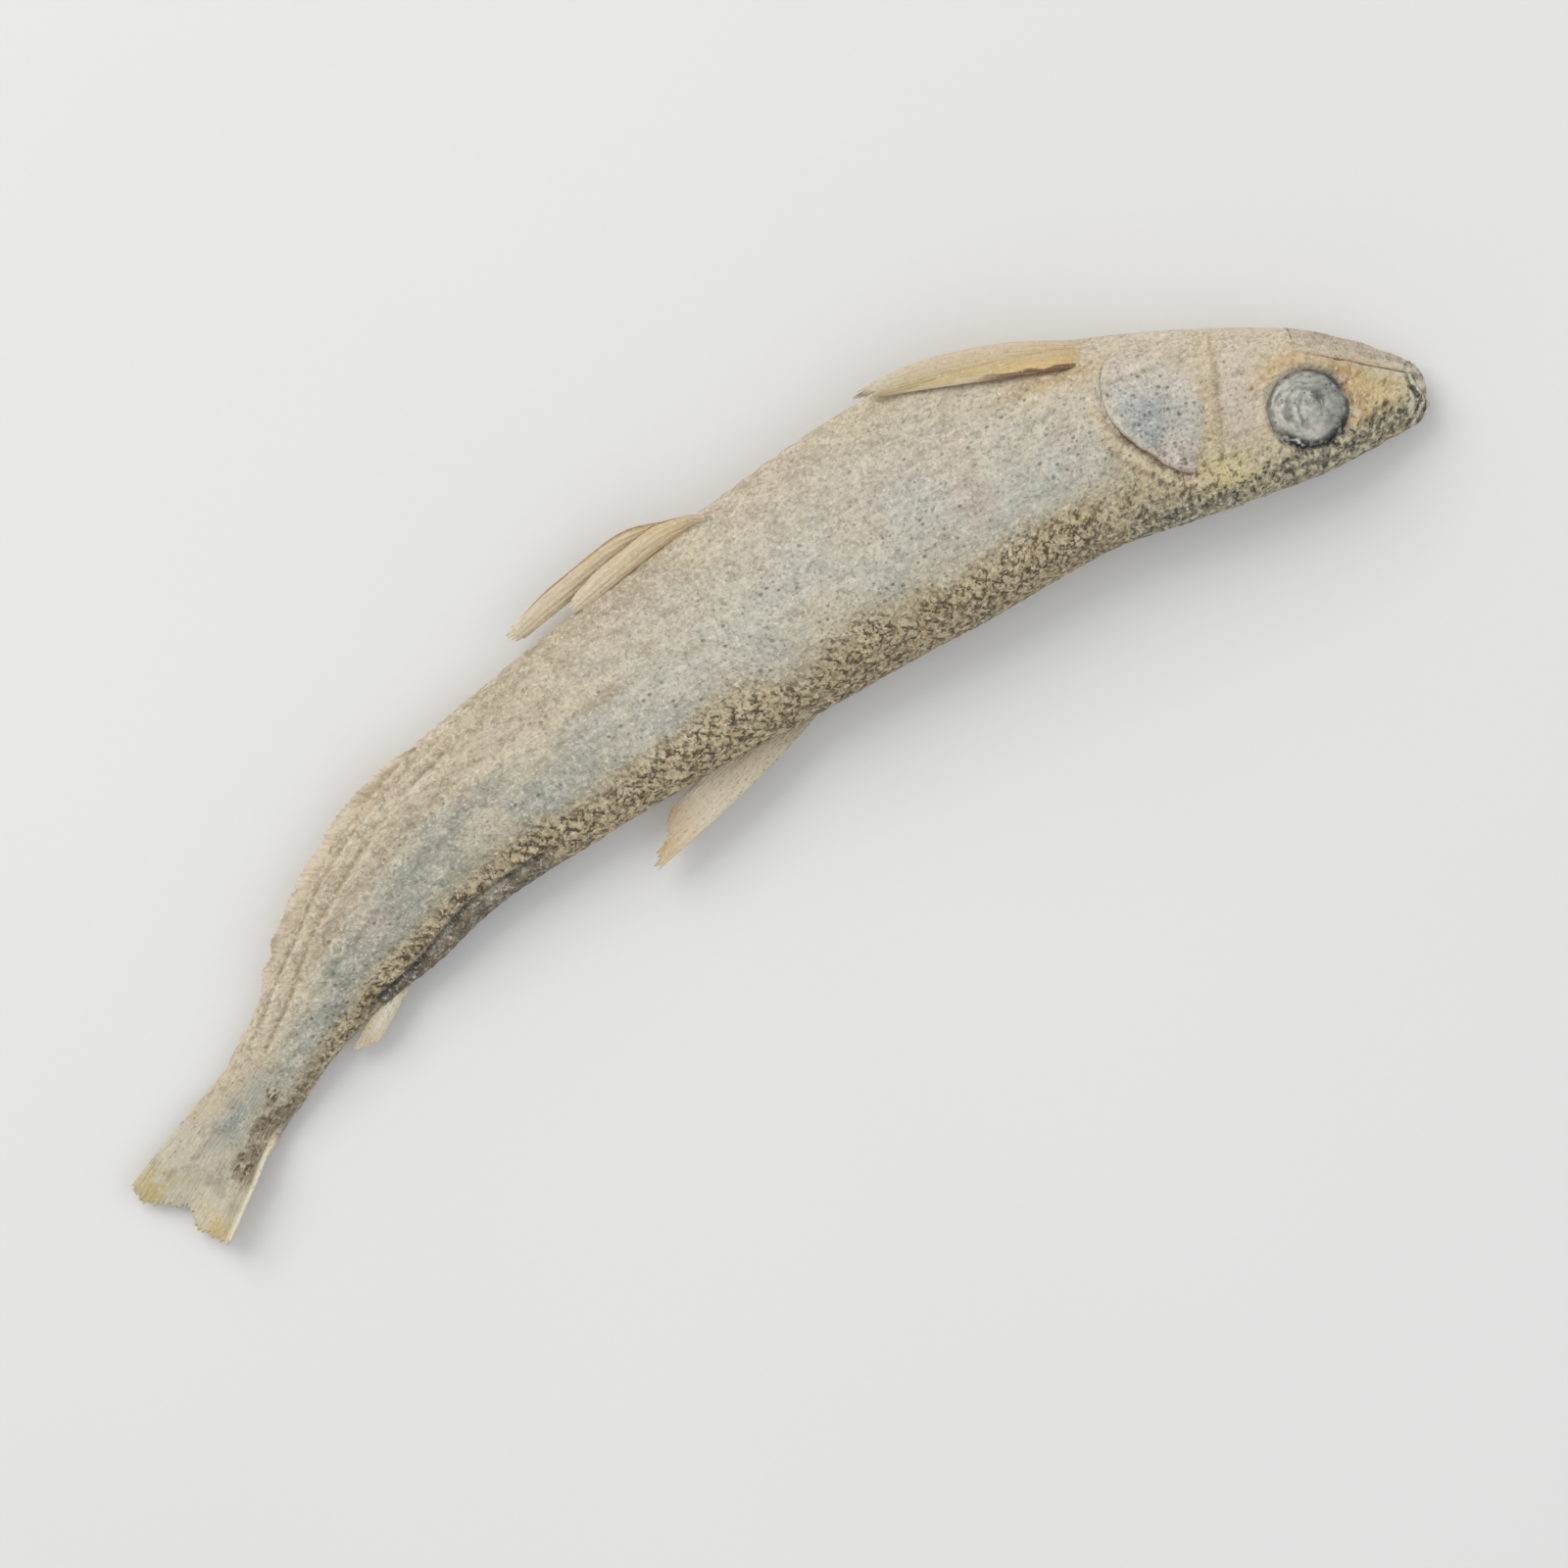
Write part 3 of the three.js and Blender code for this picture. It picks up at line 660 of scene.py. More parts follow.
def head_marks(tint):
    """The wrinkled tip, drawn in painted shade and highlights, two yellow patches, the worn cheek ridge,
    the eye's dark rim and the nostrils, darkened with painted shade.
    """
    at_tip = fall(s, 1.4, 2.4)
    waver = 1.5 * grain(s / 0.8, girth / 0.8, out, 46)
    wrinkle = np.sin(2 * np.pi * (s - 0.55 * np.abs(up - 0.2)) / 0.75 + waver)
    # The tip's wrinkles are painted: painted shade in their dark lines and painted highlights along their
    # pale crests.
    tint = cover(tint, (52, 47, 38), 0.9 * at_tip * ease(wrinkle, -0.1, 0.5))
    tint = cover(tint, (232, 228, 216), 0.8 * at_tip * ease(-wrinkle, 0.15, 0.7))
    tint = cover(tint, (236, 216, 146), 0.95 * oval(s, 15.8, 2.5, up, 4.2, 1.3))
    tint = cover(tint, (214, 196, 160), 0.5 * oval(s, 12.4, 1.6, up, 2.6, 1.4))
    worn_ridge = 0.45 + 0.35 * grain(up / 1.2, girth / 0.7, out, 56)
    worn_ridge = worn_ridge * bell(s, cheek_ridge + 0.1, 0.65) * between(up, -6.0, 1.0, 1.2)
    tint = cover(tint, (188, 166, 120), worn_ridge)
    tint = cover(tint, (138, 116, 82), 0.5 * bell(s, cheek_ridge - 0.5, 0.16) * between(up, -4.0, 0.6, 1.2))
    rim_dark = 0.1 + 0.6 * ease(up, 0, 2.4) + 0.5 * grain(s / 0.6, girth / 0.6, out, 48)
    tint = cover(tint, (58, 52, 42), np.clip(rim_dark, 0, 0.9) * bell(from_eye, eye_radius + 0.02, 0.14))
    tint = cover(tint, (120, 106, 84), 0.9 * fall(from_eye, eye_radius - 0.3, eye_radius))
    # Painted shade: dark in each nostril's pit.
    for station, rise in nostrils:
        tint = cover(tint, (58, 52, 42), 0.7 * bell(np.hypot(s - station, up - rise), 0, 0.26))
    return tint


def shoulder_tint(tint):
    """Painted shade in the slit behind the gill cover's lifted rim, brown and cream folds behind it,
    orange-brown painted shade on the flank under the pectoral's root, pink at the belly.
    """
    # Painted shade: dark brown in the slit under the gill cover's lifted rim, on its side of the back.
    edge = bell(behind_gill, 0.12, 0.24) * free * ease(up, -1.0, 0.6)
    tint = cover(tint, (112, 78, 56), 0.85 * edge)
    tint = cover(tint, (220, 198, 158), 0.8 * bell(behind_gill, 0.85, 0.45) * free * ease(up, -5, -1))
    tint = cover(tint, (150, 116, 74), 0.55 * bell(behind_gill, 1.6, 0.25) * free * ease(up, -0.5, 1.5))
    # Painted shade: orange-brown on the flank under the pectoral fin's root.
    tint = cover(tint, (206, 168, 116), 0.75 * oval(s, 27.5, 4, up, -5.3, 0.9))
    pinkish = oval(s, 49, 4.5, up, -8.0, 1.3) + oval(s, 64, 4, up, -6.2, 1.5)
    pinkish = pinkish * ease(rough(s / 1.6, girth / 1.2, out / 2, 60), -0.4, 0.3)
    return cover(tint, (184, 160, 146), 0.6 * pinkish)


def back_tint(tint):
    """Gold, grey and dark blotches among the scales of the back, rubbed paler behind the pelvic fins,
    where the belly is browner."""
    golden = near_back * trunk * ease(grain(s / 6, girth / 3.5, out / 4, 57), -0.1, 0.5)
    tint = cover(tint, (188, 154, 100), 0.55 * golden)
    greyed = near_back * trunk * ease(grain(s / 6, girth / 3, out / 4, 58), 0.1, 0.6)
    tint = cover(tint, (166, 160, 144), 0.6 * greyed)
    blotched = ease(u, 0.62, 0.86) * ease(grain(s / 2.6, girth / 1.2, out / 2, 47), 0.05, 0.45) * trunk
    rubbed = between(s, 58, 72, 3)
    tint = cover(tint, (84, 68, 48), 0.55 * blotched * (1 - 0.6 * rubbed))
    tint = cover(tint, (78, 64, 48), 0.26 * near_back * bell(s, 49, 5) * ease(u, 0.5, 0.75))
    tint = cover(tint, (212, 194, 158), 0.34 * near_back * rubbed)
    return cover(tint, (158, 136, 108), 0.26 * between(s, 58, 76, 3) * fall(u, -0.85, -0.55))


def wear_and_painted_shade_tint(tint):
    """Loose scales, the belly's creases with painted shade in them and painted light beside them, the
    groove near the tail in painted shade with the dark brown strip beyond it, darkened further by
    painted shade, the inside of the mouth and the under flank that was pressed flat."""
    for station, rise, radius in old_flakes:
        away = np.hypot(s - station, 1.3 * (up - rise)) * (1 + 0.2 * grain(s / 0.7, up / 0.7, 0, 59))
        tint = cover(tint, (226, 220, 206), 0.6 * bell(away, radius, 0.16) * (out > 0))
    # The belly's creases: painted shade along each crease and a pale line of painted light beside it.
    for crease in creases:
        tint = cover(tint, (140, 114, 84), 0.55 * bell(crease, 0, 0.15) * on_crease)
        tint = cover(tint, (222, 208, 182), 0.5 * bell(crease, 0.35, 0.2) * on_crease)
    # The strip beyond the groove near the tail: its own dark brown, darkened further by painted shade.
    tint = cover(tint, (66, 55, 38), 0.92 * ease(split, 0.05, 0.4) * on_split)
    tint = cover(tint, (132, 114, 82), 0.6 * bell(split, 0.55, 0.12) * on_split)
    # Painted shade: a near-black line in the groove itself.
    tint = cover(tint, (24, 20, 16), 0.98 * bell(split, 0, 0.30) * on_split)
    tint = cover(tint, mouth_brown, 0.9 * in_mouth)
    pressed = ease(-np.sin(angle), 0.88, 0.96) * trunk
    return cover(tint, (206, 193, 166), 0.35 * pressed)


net = net * (1 - ease(split, -0.3, 0.0) * on_split)
speckle = (0.22 + 0.34 * grain(s / 4, girth / 3, out / 4, 51)) * (0.25 + 0.75 * ease(u, -0.75, 0.1))
speckle = speckle * (1 - 0.5 * between(s, 44, 78, 5) * fall(u, 0.0, 0.3))
speckle = speckle * (0.3 + 0.7 * ease(s, 19, 28)) * (1 - 0.6 * rear)
speckle = speckle + 0.6 * ease(u, 0.3, 0.85) * fall(s, 24, 34)
speckle = speckle + 0.3 * between(s, 95, 110, 8) * ease(u, -0.1, 0.4) + 0.2 * net
speckle = np.clip(speckle * (1 - 0.8 * bell(from_eye, eye_radius, 0.9) * (u < 0.6)), 0, 1)
stipple = 0.10 + 0.35 * head_share * ease(up - mouth_line(s), 0, 1.5) * fall(s, 7, 12)
stipple = stipple + head_share * (1.1 * crown_band + 0.40 * ease(up, 1.5, 3.5) + 0.15 * ease(u, 0.1, 0.6))
stipple = stipple + (0.58 + 0.30 * patchy) * near_back * (1 - head_share) + 0.1 * ease(-u, 0.6, 0.9) * rear
stipple = np.clip(stipple * (1 - 0.85 * ease(split, -0.45, -0.15) * on_split), 0, 1)


def attribute(tree, label, output="Fac"):
    """What the mesh holds under that label."""
    return wire(tree, "ShaderNodeAttribute", attribute_name=label).outputs[output]


def maths(tree, operation, *values):
    """A sum, difference or the like of two values or outputs."""
    return wire(tree, "ShaderNodeMath", dict(enumerate(values)), operation=operation).outputs["Value"]


def product(tree, first, second):
    """Two values or outputs multiplied."""
    return maths(tree, "MULTIPLY", first, second)


def stretched(tree, vector, x, y, z):
    """The vector with each part multiplied, so that a pattern comes out finer by as much."""
    scaled = wire(tree, "ShaderNodeVectorMath", {0: vector, 1: (x, y, z)}, operation="MULTIPLY")
    return scaled.outputs["Vector"]


def object_mm(tree):
    """The place on the object, in mm."""
    return stretched(tree, wire(tree, "ShaderNodeTexCoord").outputs["Object"], 1000, 1000, 1000)


def noise(tree, vector, detail=3.0, sharpness=0.55, swirl=0.0):
    """Cloudy noise, 0 to 1, about one lump for each unit of the vector."""
    inputs = {"Vector": vector, "Scale": 1.0, "Detail": detail, "Roughness": sharpness, "Distortion": swirl}
    return wire(tree, "ShaderNodeTexNoise", inputs).outputs["Fac"]


def ramp(tree, value, low, high, start=0.0, end=1.0):
    """start up to low, end from high, and a smooth S between them."""
    inputs = {"Value": value, "From Min": low, "From Max": high, "To Min": start, "To Max": end}
    return wire(tree, "ShaderNodeMapRange", inputs, interpolation_type="SMOOTHSTEP").outputs["Result"]


def blend(tree, share, below, above):
    """The colour above laid over the one below by its share."""
    inputs = {0: share, 6: below, 7: above}
    return wire(tree, "ShaderNodeMix", inputs, data_type="RGBA").outputs[2]


def two_tone(tree, colour, value, pale, dark):
    """The colour with a paler one over the rises of value and a darker one over its dips. Each is given
    as the value where it starts, the one where it is full, its share there and its own colour."""
    for start, full, share, laid in (pale, dark):
        colour = blend(tree, ramp(tree, value, start, full, 0.0, share), colour, linear(*laid))
    return colour


def specks(tree, vector, size, low, high, share):
    """Round specks in some cells of a scattered net, more of them where share is higher."""
    cells = wire(tree, "ShaderNodeTexVoronoi", {"Vector": vector, "Scale": 1 / size})
    chosen = wire(tree, "ShaderNodeSeparateColor", {"Color": cells.outputs["Color"]}).outputs["Red"]
    kept = ramp(tree, maths(tree, "SUBTRACT", chosen, share), 0.05, -0.05)
    return product(tree, ramp(tree, cells.outputs["Distance"], high, low), kept)


def skin_material(name):
    """Dry fish skin. Its broad colours come from the mesh. Over them go a mottle, long fibres, a fine
    grit, rows of dark pigment specks and, near the back, golden scales with broken dark edges and a
    painted highlight in the middle of each."""
    material, tree, shader = new_material(name)
    spot = attribute(tree, "spot", "Vector")  # s, girth and out, in mm
    s_mm, girth_mm = wire(tree, "ShaderNodeSeparateXYZ", {0: spot}).outputs[:2]
    place_mm = object_mm(tree)
    net_share, speck_share = attribute(tree, "net"), attribute(tree, "speckle")
    stipple_share = attribute(tree, "stipple")

    mottle = noise(tree, stretched(tree, spot, 0.55, 0.8, 0.5), 6.0, 0.66)
    fibres = noise(tree, stretched(tree, spot, 0.5, 3.6, 0.5), 4.0, 0.6)
    grit = noise(tree, stretched(tree, place_mm, 3.4, 3.4, 3.4), 3.0, 0.7)
    tooth = noise(tree, stretched(tree, place_mm, 1.5, 1.5, 1.5), 3.0, 0.7)
    curls = noise(tree, stretched(tree, spot, 1.25, 1.45, 0.8), 3.0, 0.6, 1.4)
    dots = noise(tree, stretched(tree, spot, 2.2, 1.45, 1.2), 2.0, 0.6)
    colour = attribute(tree, "tint", "Color")
    colour = two_tone(tree, colour, mottle,
                      (0.45, 0.7, 0.45, (222, 213, 194)), (0.52, 0.3, 0.36, (140, 138, 126)))
    colour = two_tone(tree, colour, fibres,
                      (0.5, 0.72, 0.24, (218, 202, 172)), (0.5, 0.3, 0.22, (132, 116, 90)))

    colour = two_tone(tree, colour, curls,
                      (0.52, 0.68, 0.42, (228, 219, 199)), (0.47, 0.33, 0.38, (124, 116, 98)))

    wobble = ramp(tree, noise(tree, stretched(tree, spot, 0.9, 0.9, 0.5), 2.0), 0.3, 0.7, -0.3, 0.3)
    along_net = product(tree, maths(tree, "ADD", s_mm, wobble), 1 / scale_long)
    across_net = product(tree, maths(tree, "ADD", girth_mm, wobble), 1 / scale_wide)
    rising = maths(tree, "FRACT", maths(tree, "ADD", along_net, across_net))
    falling = maths(tree, "FRACT", maths(tree, "SUBTRACT", along_net, across_net))
    broken = ramp(tree, noise(tree, stretched(tree, spot, 1.4, 1.4, 1.0), 3.0, 0.7), 0.44, 0.54)
    edge = maths(tree, "MAXIMUM", rising, product(tree, falling, 0.94))
    dark_edge = product(tree, ramp(tree, edge, 0.56, 0.82), broken)
    dark_edge = product(tree, dark_edge, net_share)
    middle = product(tree, rising, falling)
    golden = product(tree, ramp(tree, middle, 0.05, 0.5, 0.25, 0.8), net_share)
    colour = blend(tree, golden, colour, linear(204, 178, 126))
    # Painted highlight: a pale cream spot in the middle of each scale near the back.
    painted_scale_highlight = product(tree, ramp(tree, middle, 0.2, 0.45, 0.0, 0.85), net_share)
    painted_scale_highlight = product(tree, painted_scale_highlight, ramp(tree, mottle, 0.42, 0.6))
    colour = blend(tree, painted_scale_highlight, colour, linear(228, 213, 178))
    colour = blend(tree, product(tree, dark_edge, 0.92), colour, linear(70, 52, 34))
    pale_dots = product(tree, ramp(tree, dots, 0.53, 0.62, 0.0, 0.75), stipple_share)
    dark_dots = product(tree, ramp(tree, dots, 0.46, 0.38, 0.0, 0.9), stipple_share)
    colour = blend(tree, pale_dots, colour, linear(222, 206, 170))
    dot_colour = blend(tree, net_share, linear(54, 54, 42), linear(88, 64, 38))
    colour = blend(tree, dark_dots, colour, dot_colour)

    rows = stretched(tree, spot, 1.0, 1.25, 1.0)
    large = specks(tree, rows, 0.62, 0.16, 0.36, speck_share)
    small = specks(tree, stretched(tree, spot, 1.1, 1.1, 1.1), 0.36, 0.16, 0.42, speck_share)
    colour = two_tone(tree, colour, grit,
                      (0.54, 0.70, 0.62, (236, 229, 211)), (0.46, 0.30, 0.55, (118, 108, 90)))
    colour = blend(tree, product(tree, large, 0.62), colour, linear(86, 84, 76))
    colour = blend(tree, product(tree, small, 0.50), colour, linear(96, 92, 80))
    tree.links.new(colour, shader.inputs["Base Color"])

    tree.links.new(ramp(tree, mottle, 0.3, 0.7, 0.50, 0.72), shader.inputs["Roughness"])
    shader.inputs["Specular IOR Level"].default_value = 0.38
    height = maths(tree, "ADD", product(tree, grit, 0.8), product(tree, fibres, 0.5))
    height = maths(tree, "ADD", height, product(tree, tooth, 1.2))
    height = maths(tree, "SUBTRACT", height, product(tree, dark_edge, 0.8))
    height = maths(tree, "SUBTRACT", height, product(tree, large, 0.3))
    give_relief(tree, shader, height, 0.8, 0.00016)
    return material


skin_tint = wear_and_painted_shade_tint(back_tint(shoulder_tint(head_marks(head_tint(trunk_tint())))))
skin_finish = skin_material("dried_skin")
body_mesh = closed_mesh("body_skin", body_points + to_row, {
    "spot": np.stack([s, girth, out], axis=-1),
    "tint": as_light(skin_tint),
    "net": net,
    "speckle": speckle,
    "stipple": stipple,
})
new_piece("body_skin", body_mesh, skin_finish, "skin", "body")

# ---------------------------------------------------------------- lower jaw
# The dentary bone under dry cream skin, closed against the upper jaw with a hair's gap. Fine lines
# run along it, and its tip is wrinkled, its wrinkles drawn in painted shade and painted highlights.
# It hinges on the head in life and has dried shut.

jaw_rings = 120
jaw_outer, jaw_top = 96, 24  # corners of a ring on the outside and across the roof


def jaw_points():
    """Rings along the jaw: round the belly side from one edge of the mouth to the other, and back
    across the roof. The outside is the head's own section below the mouth's line."""
    s = np.linspace(0.3, jaw_length + 0.05, jaw_rings)[:, None]
    lowest = -0.998 * belly_reach(s) * ends(s)
    roof = np.maximum(mouth_line(s) - lip_gap(s) - jaw_drop(s), lowest)
    start = np.arccos(np.clip(roof / (reach(s, roof) * ends(s)), -1, 1))
    turn = np.linspace(0, 1, jaw_outer)[None, :]
    angle = start + (2 * np.pi - 2 * start) * turn
    up, out = section(s, angle)
    across = 2 * np.linspace(1, 0, jaw_top + 2)[None, 1:-1] - 1
    roof_out = across * out[:, -1:]
    roof_up = roof - 0.5 * (1 - across**2) * ease(s, 0.5, 3)
    up = np.concatenate([up, np.maximum(roof_up, lowest)], axis=1)
    out = np.concatenate([out, roof_out], axis=1)
    return np.broadcast_to(s, up.shape), up, out


jaw_s, jaw_up, jaw_out = jaw_points()
jaw = place(jaw_s, jaw_up, jaw_out)
jaw_outward = unit(np.cross(np.roll(jaw, -1, axis=1) - np.roll(jaw, 1, axis=1), np.gradient(jaw, axis=0)))
from_lip = mouth_line(jaw_s) - jaw_up
on_outside = (np.arange(jaw.shape[1]) < jaw_outer)[None, :]
jaw_relief = 0.04 * np.sin(2 * np.pi * (from_lip + 0.05 * jaw_s) / 0.62) * ease(from_lip, 0.4, 0.9)
jaw_relief += 0.12 * bell(from_lip, 0.25, 0.25) + 0.05 * rough(jaw_s / 1.5, from_lip / 0.5, jaw_out / 2, 61)
jaw_relief += 0.16 * fall(jaw_s, 0.8, 2.2) * rough(jaw_s / 0.4, from_lip / 0.5, jaw_out, 62)
jaw_relief = jaw_relief * on_outside * ease(jaw_s, 0.3, 0.9) * fall(jaw_s, jaw_length - 0.8, jaw_length)
jaw = jaw + jaw_relief[..., None] * jaw_outward

jaw_tint = band_colours(
    [0.0, 0.35, 1.2, 2.6],
    [(200, 172, 134), (208, 188, 162), (194, 178, 156), (186, 166, 140)], from_lip)
streak = rough(jaw_s / 3, from_lip / 0.28, jaw_out / 3, 63)
jaw_tint = cover(jaw_tint, (184, 160, 124), 0.5 * ease(streak, 0.05, 0.6))
jaw_tint = cover(jaw_tint, (228, 218, 196), 0.5 * ease(-streak, 0.1, 0.6))
wrinkle = np.sin(2 * np.pi * (jaw_s + 0.5 * from_lip) / 0.62)
at_tip = fall(jaw_s, 1.3, 2.4)
# Painted shade in the tip's wrinkles and painted highlights along their crests.
jaw_tint = cover(jaw_tint, (60, 54, 44), 0.85 * at_tip * ease(wrinkle, 0.0, 0.6))
jaw_tint = cover(jaw_tint, (226, 222, 208), 0.7 * at_tip * ease(-wrinkle, 0.2, 0.8))
jaw_tint = cover(jaw_tint, mouth_brown, 0.9 * ~on_outside)
jaw_mesh = closed_mesh("lower_jaw_bone", jaw + to_row, {
    "spot": np.stack([jaw_s, from_lip + 30, jaw_out], axis=-1),
    "tint": as_light(jaw_tint),
    "speckle": 0.12 * ease(from_lip, 0.5, 1.5),
    "stipple": 0.10 + 0.5 * at_tip + 0 * jaw_out,
})
bone_finish = skin_material("thin_bone")
new_piece("lower_jaw_bone", jaw_mesh, bone_finish, "plate", "lower_jaw")

# ---------------------------------------------------------------- eyes
# Each eye dried out in its socket: the clear front sank and creased in rings round the lens, which
# stands as a small clouded button, with a dark rim and a dark crescent on the side of the back.

eye_rings, eye_back_rings, eye_around = 110, 20, 144
lens_radius = 1.25
ring_spacing = 0.58  # between one ring crease and the next
sides = (("left", 1), ("right", -1))


def eye_material():
    """Dried cornea: mesh colours with fine creases, darker flecks and a dull gloss."""
    material, tree, shader = new_material("dried_eye")
    spot = attribute(tree, "spot", "Vector")
    crease = noise(tree, stretched(tree, spot, 1.7, 1.7, 1.0), 7.0, 0.72)
    flecks = specks(tree, spot, 0.3, 0.1, 0.4, attribute(tree, "speckle"))
    colour = attribute(tree, "tint", "Color")
    colour = two_tone(tree, colour, crease,
                      (0.5, 0.72, 0.5, (214, 212, 200)), (0.5, 0.3, 0.55, (92, 94, 90)))
    colour = blend(tree, product(tree, flecks, 0.8), colour, linear(48, 48, 46))
    tree.links.new(colour, shader.inputs["Base Color"])
    tree.links.new(ramp(tree, crease, 0.3, 0.7, 0.28, 0.5), shader.inputs["Roughness"])
    give_relief(tree, shader, crease, 0.55, 0.00016)
    return material


def eye_surface(side):
    """Rings from the middle of the front out to the rim, then back in over the hidden side. The front's
    height over the skin is a sunken dish, plus fading ring creases, plus the lens's dome and its moat."""
    share = np.concatenate([np.linspace(0.02, 1, eye_rings), np.linspace(0.96, 0.05, eye_back_rings)])
    share = share[:, None]
    turn = np.linspace(0, 2 * np.pi, eye_around, endpoint=False)[None, :]
    share, turn = np.broadcast_arrays(share, turn)
    distance = (eye_radius - 0.02) * share
    forward, towards_back = distance * np.cos(turn), distance * np.sin(turn)
    bent = distance * (1 + 0.04 * np.cos(5 * turn + 0.6)) + ring_spacing * turn / (2 * np.pi)
    bent = bent + 0.75 * rough(forward / 1.3, towards_back / 1.3, 0, 71 + side)
    crease = np.sin(2 * np.pi * bent / ring_spacing)
    fading = ease(rough(forward / 1.3, towards_back / 1.3, 0, 75 + side), -0.45, 0.35)
    rearward_arc = ease(np.cos(turn - 2.7), -0.1, 0.8)  # deepest on the side of the gills
    folds = between(share, 0.30, 0.88, 0.12) * (0.35 + 0.65 * rearward_arc) * fading
    front = -0.40 + 0.24 * (1 - share**5)
    front += 0.085 * crease * folds
    front -= 0.10 * bell(share, 0.93, 0.05)
    front += 0.14 * rough(forward / 0.8, towards_back / 0.8, bent, 72 + side)
    from_lens = np.hypot(forward + 0.25, towards_back + 0.1) / lens_radius
    from_lens = from_lens + 0.18 * rough(forward / 0.7, towards_back / 0.7, 0, 76 + side)
    front += 0.22 * np.sqrt(np.maximum(0, 1 - from_lens**2)) ** 1.4 - 0.12 * bell(from_lens, 1.2, 0.16)
    front += 0.10 * rough(forward / 0.35, towards_back / 0.5, bent, 73) * fall(from_lens, 0.7, 1.1)
    hidden = (np.arange(len(share)) >= eye_rings)[:, None]
    lift = np.where(hidden, -0.62 - 0.5 * np.sqrt(np.maximum(0, 1 - share**2)), front)
    points = over_skin(eye_station - forward, eye_up + towards_back, lift, side)
    tint = band_colours([0, 0.3, 0.42, 0.6, 0.82, 0.90, 0.96],
                        [(186, 184, 170), (182, 181, 167), (174, 174, 162), (178, 178, 164), (186, 185, 170),
                         (150, 148, 136), (120, 116, 104)], share)
    # Painted light and shade on the ring creases: paler on their crests, darker in their troughs.
    tint = cover(tint, (218, 216, 202), 0.75 * ease(crease, 0.1, 0.9) * folds)
    tint = cover(tint, (92, 94, 88), 0.75 * ease(-crease, 0.1, 0.9) * folds)
    strokes = rough(forward / 0.6, towards_back / 0.4, 0, 78 + side)
    tint = cover(tint, (218, 218, 206), 0.6 * ease(strokes, 0.05, 0.45))
    tint = cover(tint, (96, 100, 96), 0.5 * ease(-strokes, 0.08, 0.5))
    clot = oval(forward, 0.9, 0.8, towards_back, -0.9, 0.6)
    clot = clot * ease(rough(forward / 0.5, towards_back / 0.4, 0, 77 + side), -0.25, 0.3)
    tint = cover(tint, (74, 76, 74), 0.85 * clot)
    snout_side = ease(share, 0.68, 0.9) * ease(np.cos(turn + 0.25), 0.35, 0.9)
    back_side = ease(share, 0.64, 0.80) * ease(np.cos(turn - 1.45), 0.2, 0.8)
    blobs = rough(forward / 0.55, towards_back / 0.55, 0, 74 + side)
    tint = cover(tint, (214, 210, 196), 0.35 * ease(share, 0.15, 0.5) * ease(-np.cos(turn), -0.1, 0.7))
    tint = cover(tint, (104, 106, 100), 0.38 * ease(share, 0.2, 0.6) * ease(np.cos(turn), -0.1, 0.7))
    tint = cover(tint, (82, 86, 84), 0.85 * snout_side * ease(blobs, -0.35, 0.2))
    tint = cover(tint, (28, 27, 25), 0.97 * back_side * ease(blobs, -0.40, -0.05))
    tint = cover(tint, (62, 66, 60), 0.7 * ease(share, 0.92, 0.99) * ease(blobs, -0.15, 0.35))
    pale = oval(forward, 0.2, 1.0, towards_back, 1.9, 0.45)
    tint = cover(tint, (220, 204, 198), 0.75 * pale)
    spot = np.stack([forward, towards_back, 0 * share + 3 * side], axis=-1)
    return points, {"spot": spot, "tint": as_light(tint), "speckle": 0.15 + 0.4 * snout_side}


eye_finish = eye_material()
for side_name, side in sides:
    eye_points, on_eye = eye_surface(side)
    eye_mesh = closed_mesh(f"{side_name}_eyeball", eye_points + to_row, on_eye)
    new_piece(f"{side_name}_eyeball", eye_mesh, eye_finish, "eye", f"{side_name}_eye")

# ---------------------------------------------------------------- gill covers
# A thin smooth bone plate over each gill, hinged at its upper front corner. It shows growth lines
# that spread from the hinge, and its rear edge dried slightly lifted off the shoulder.

plate_rings, plate_back_rings, plate_around = 70, 24, 150
plate_thickness = 0.3
hinge_rearward, hinge_up = -0.75, 0.62  # as shares of the cover's half length and half height


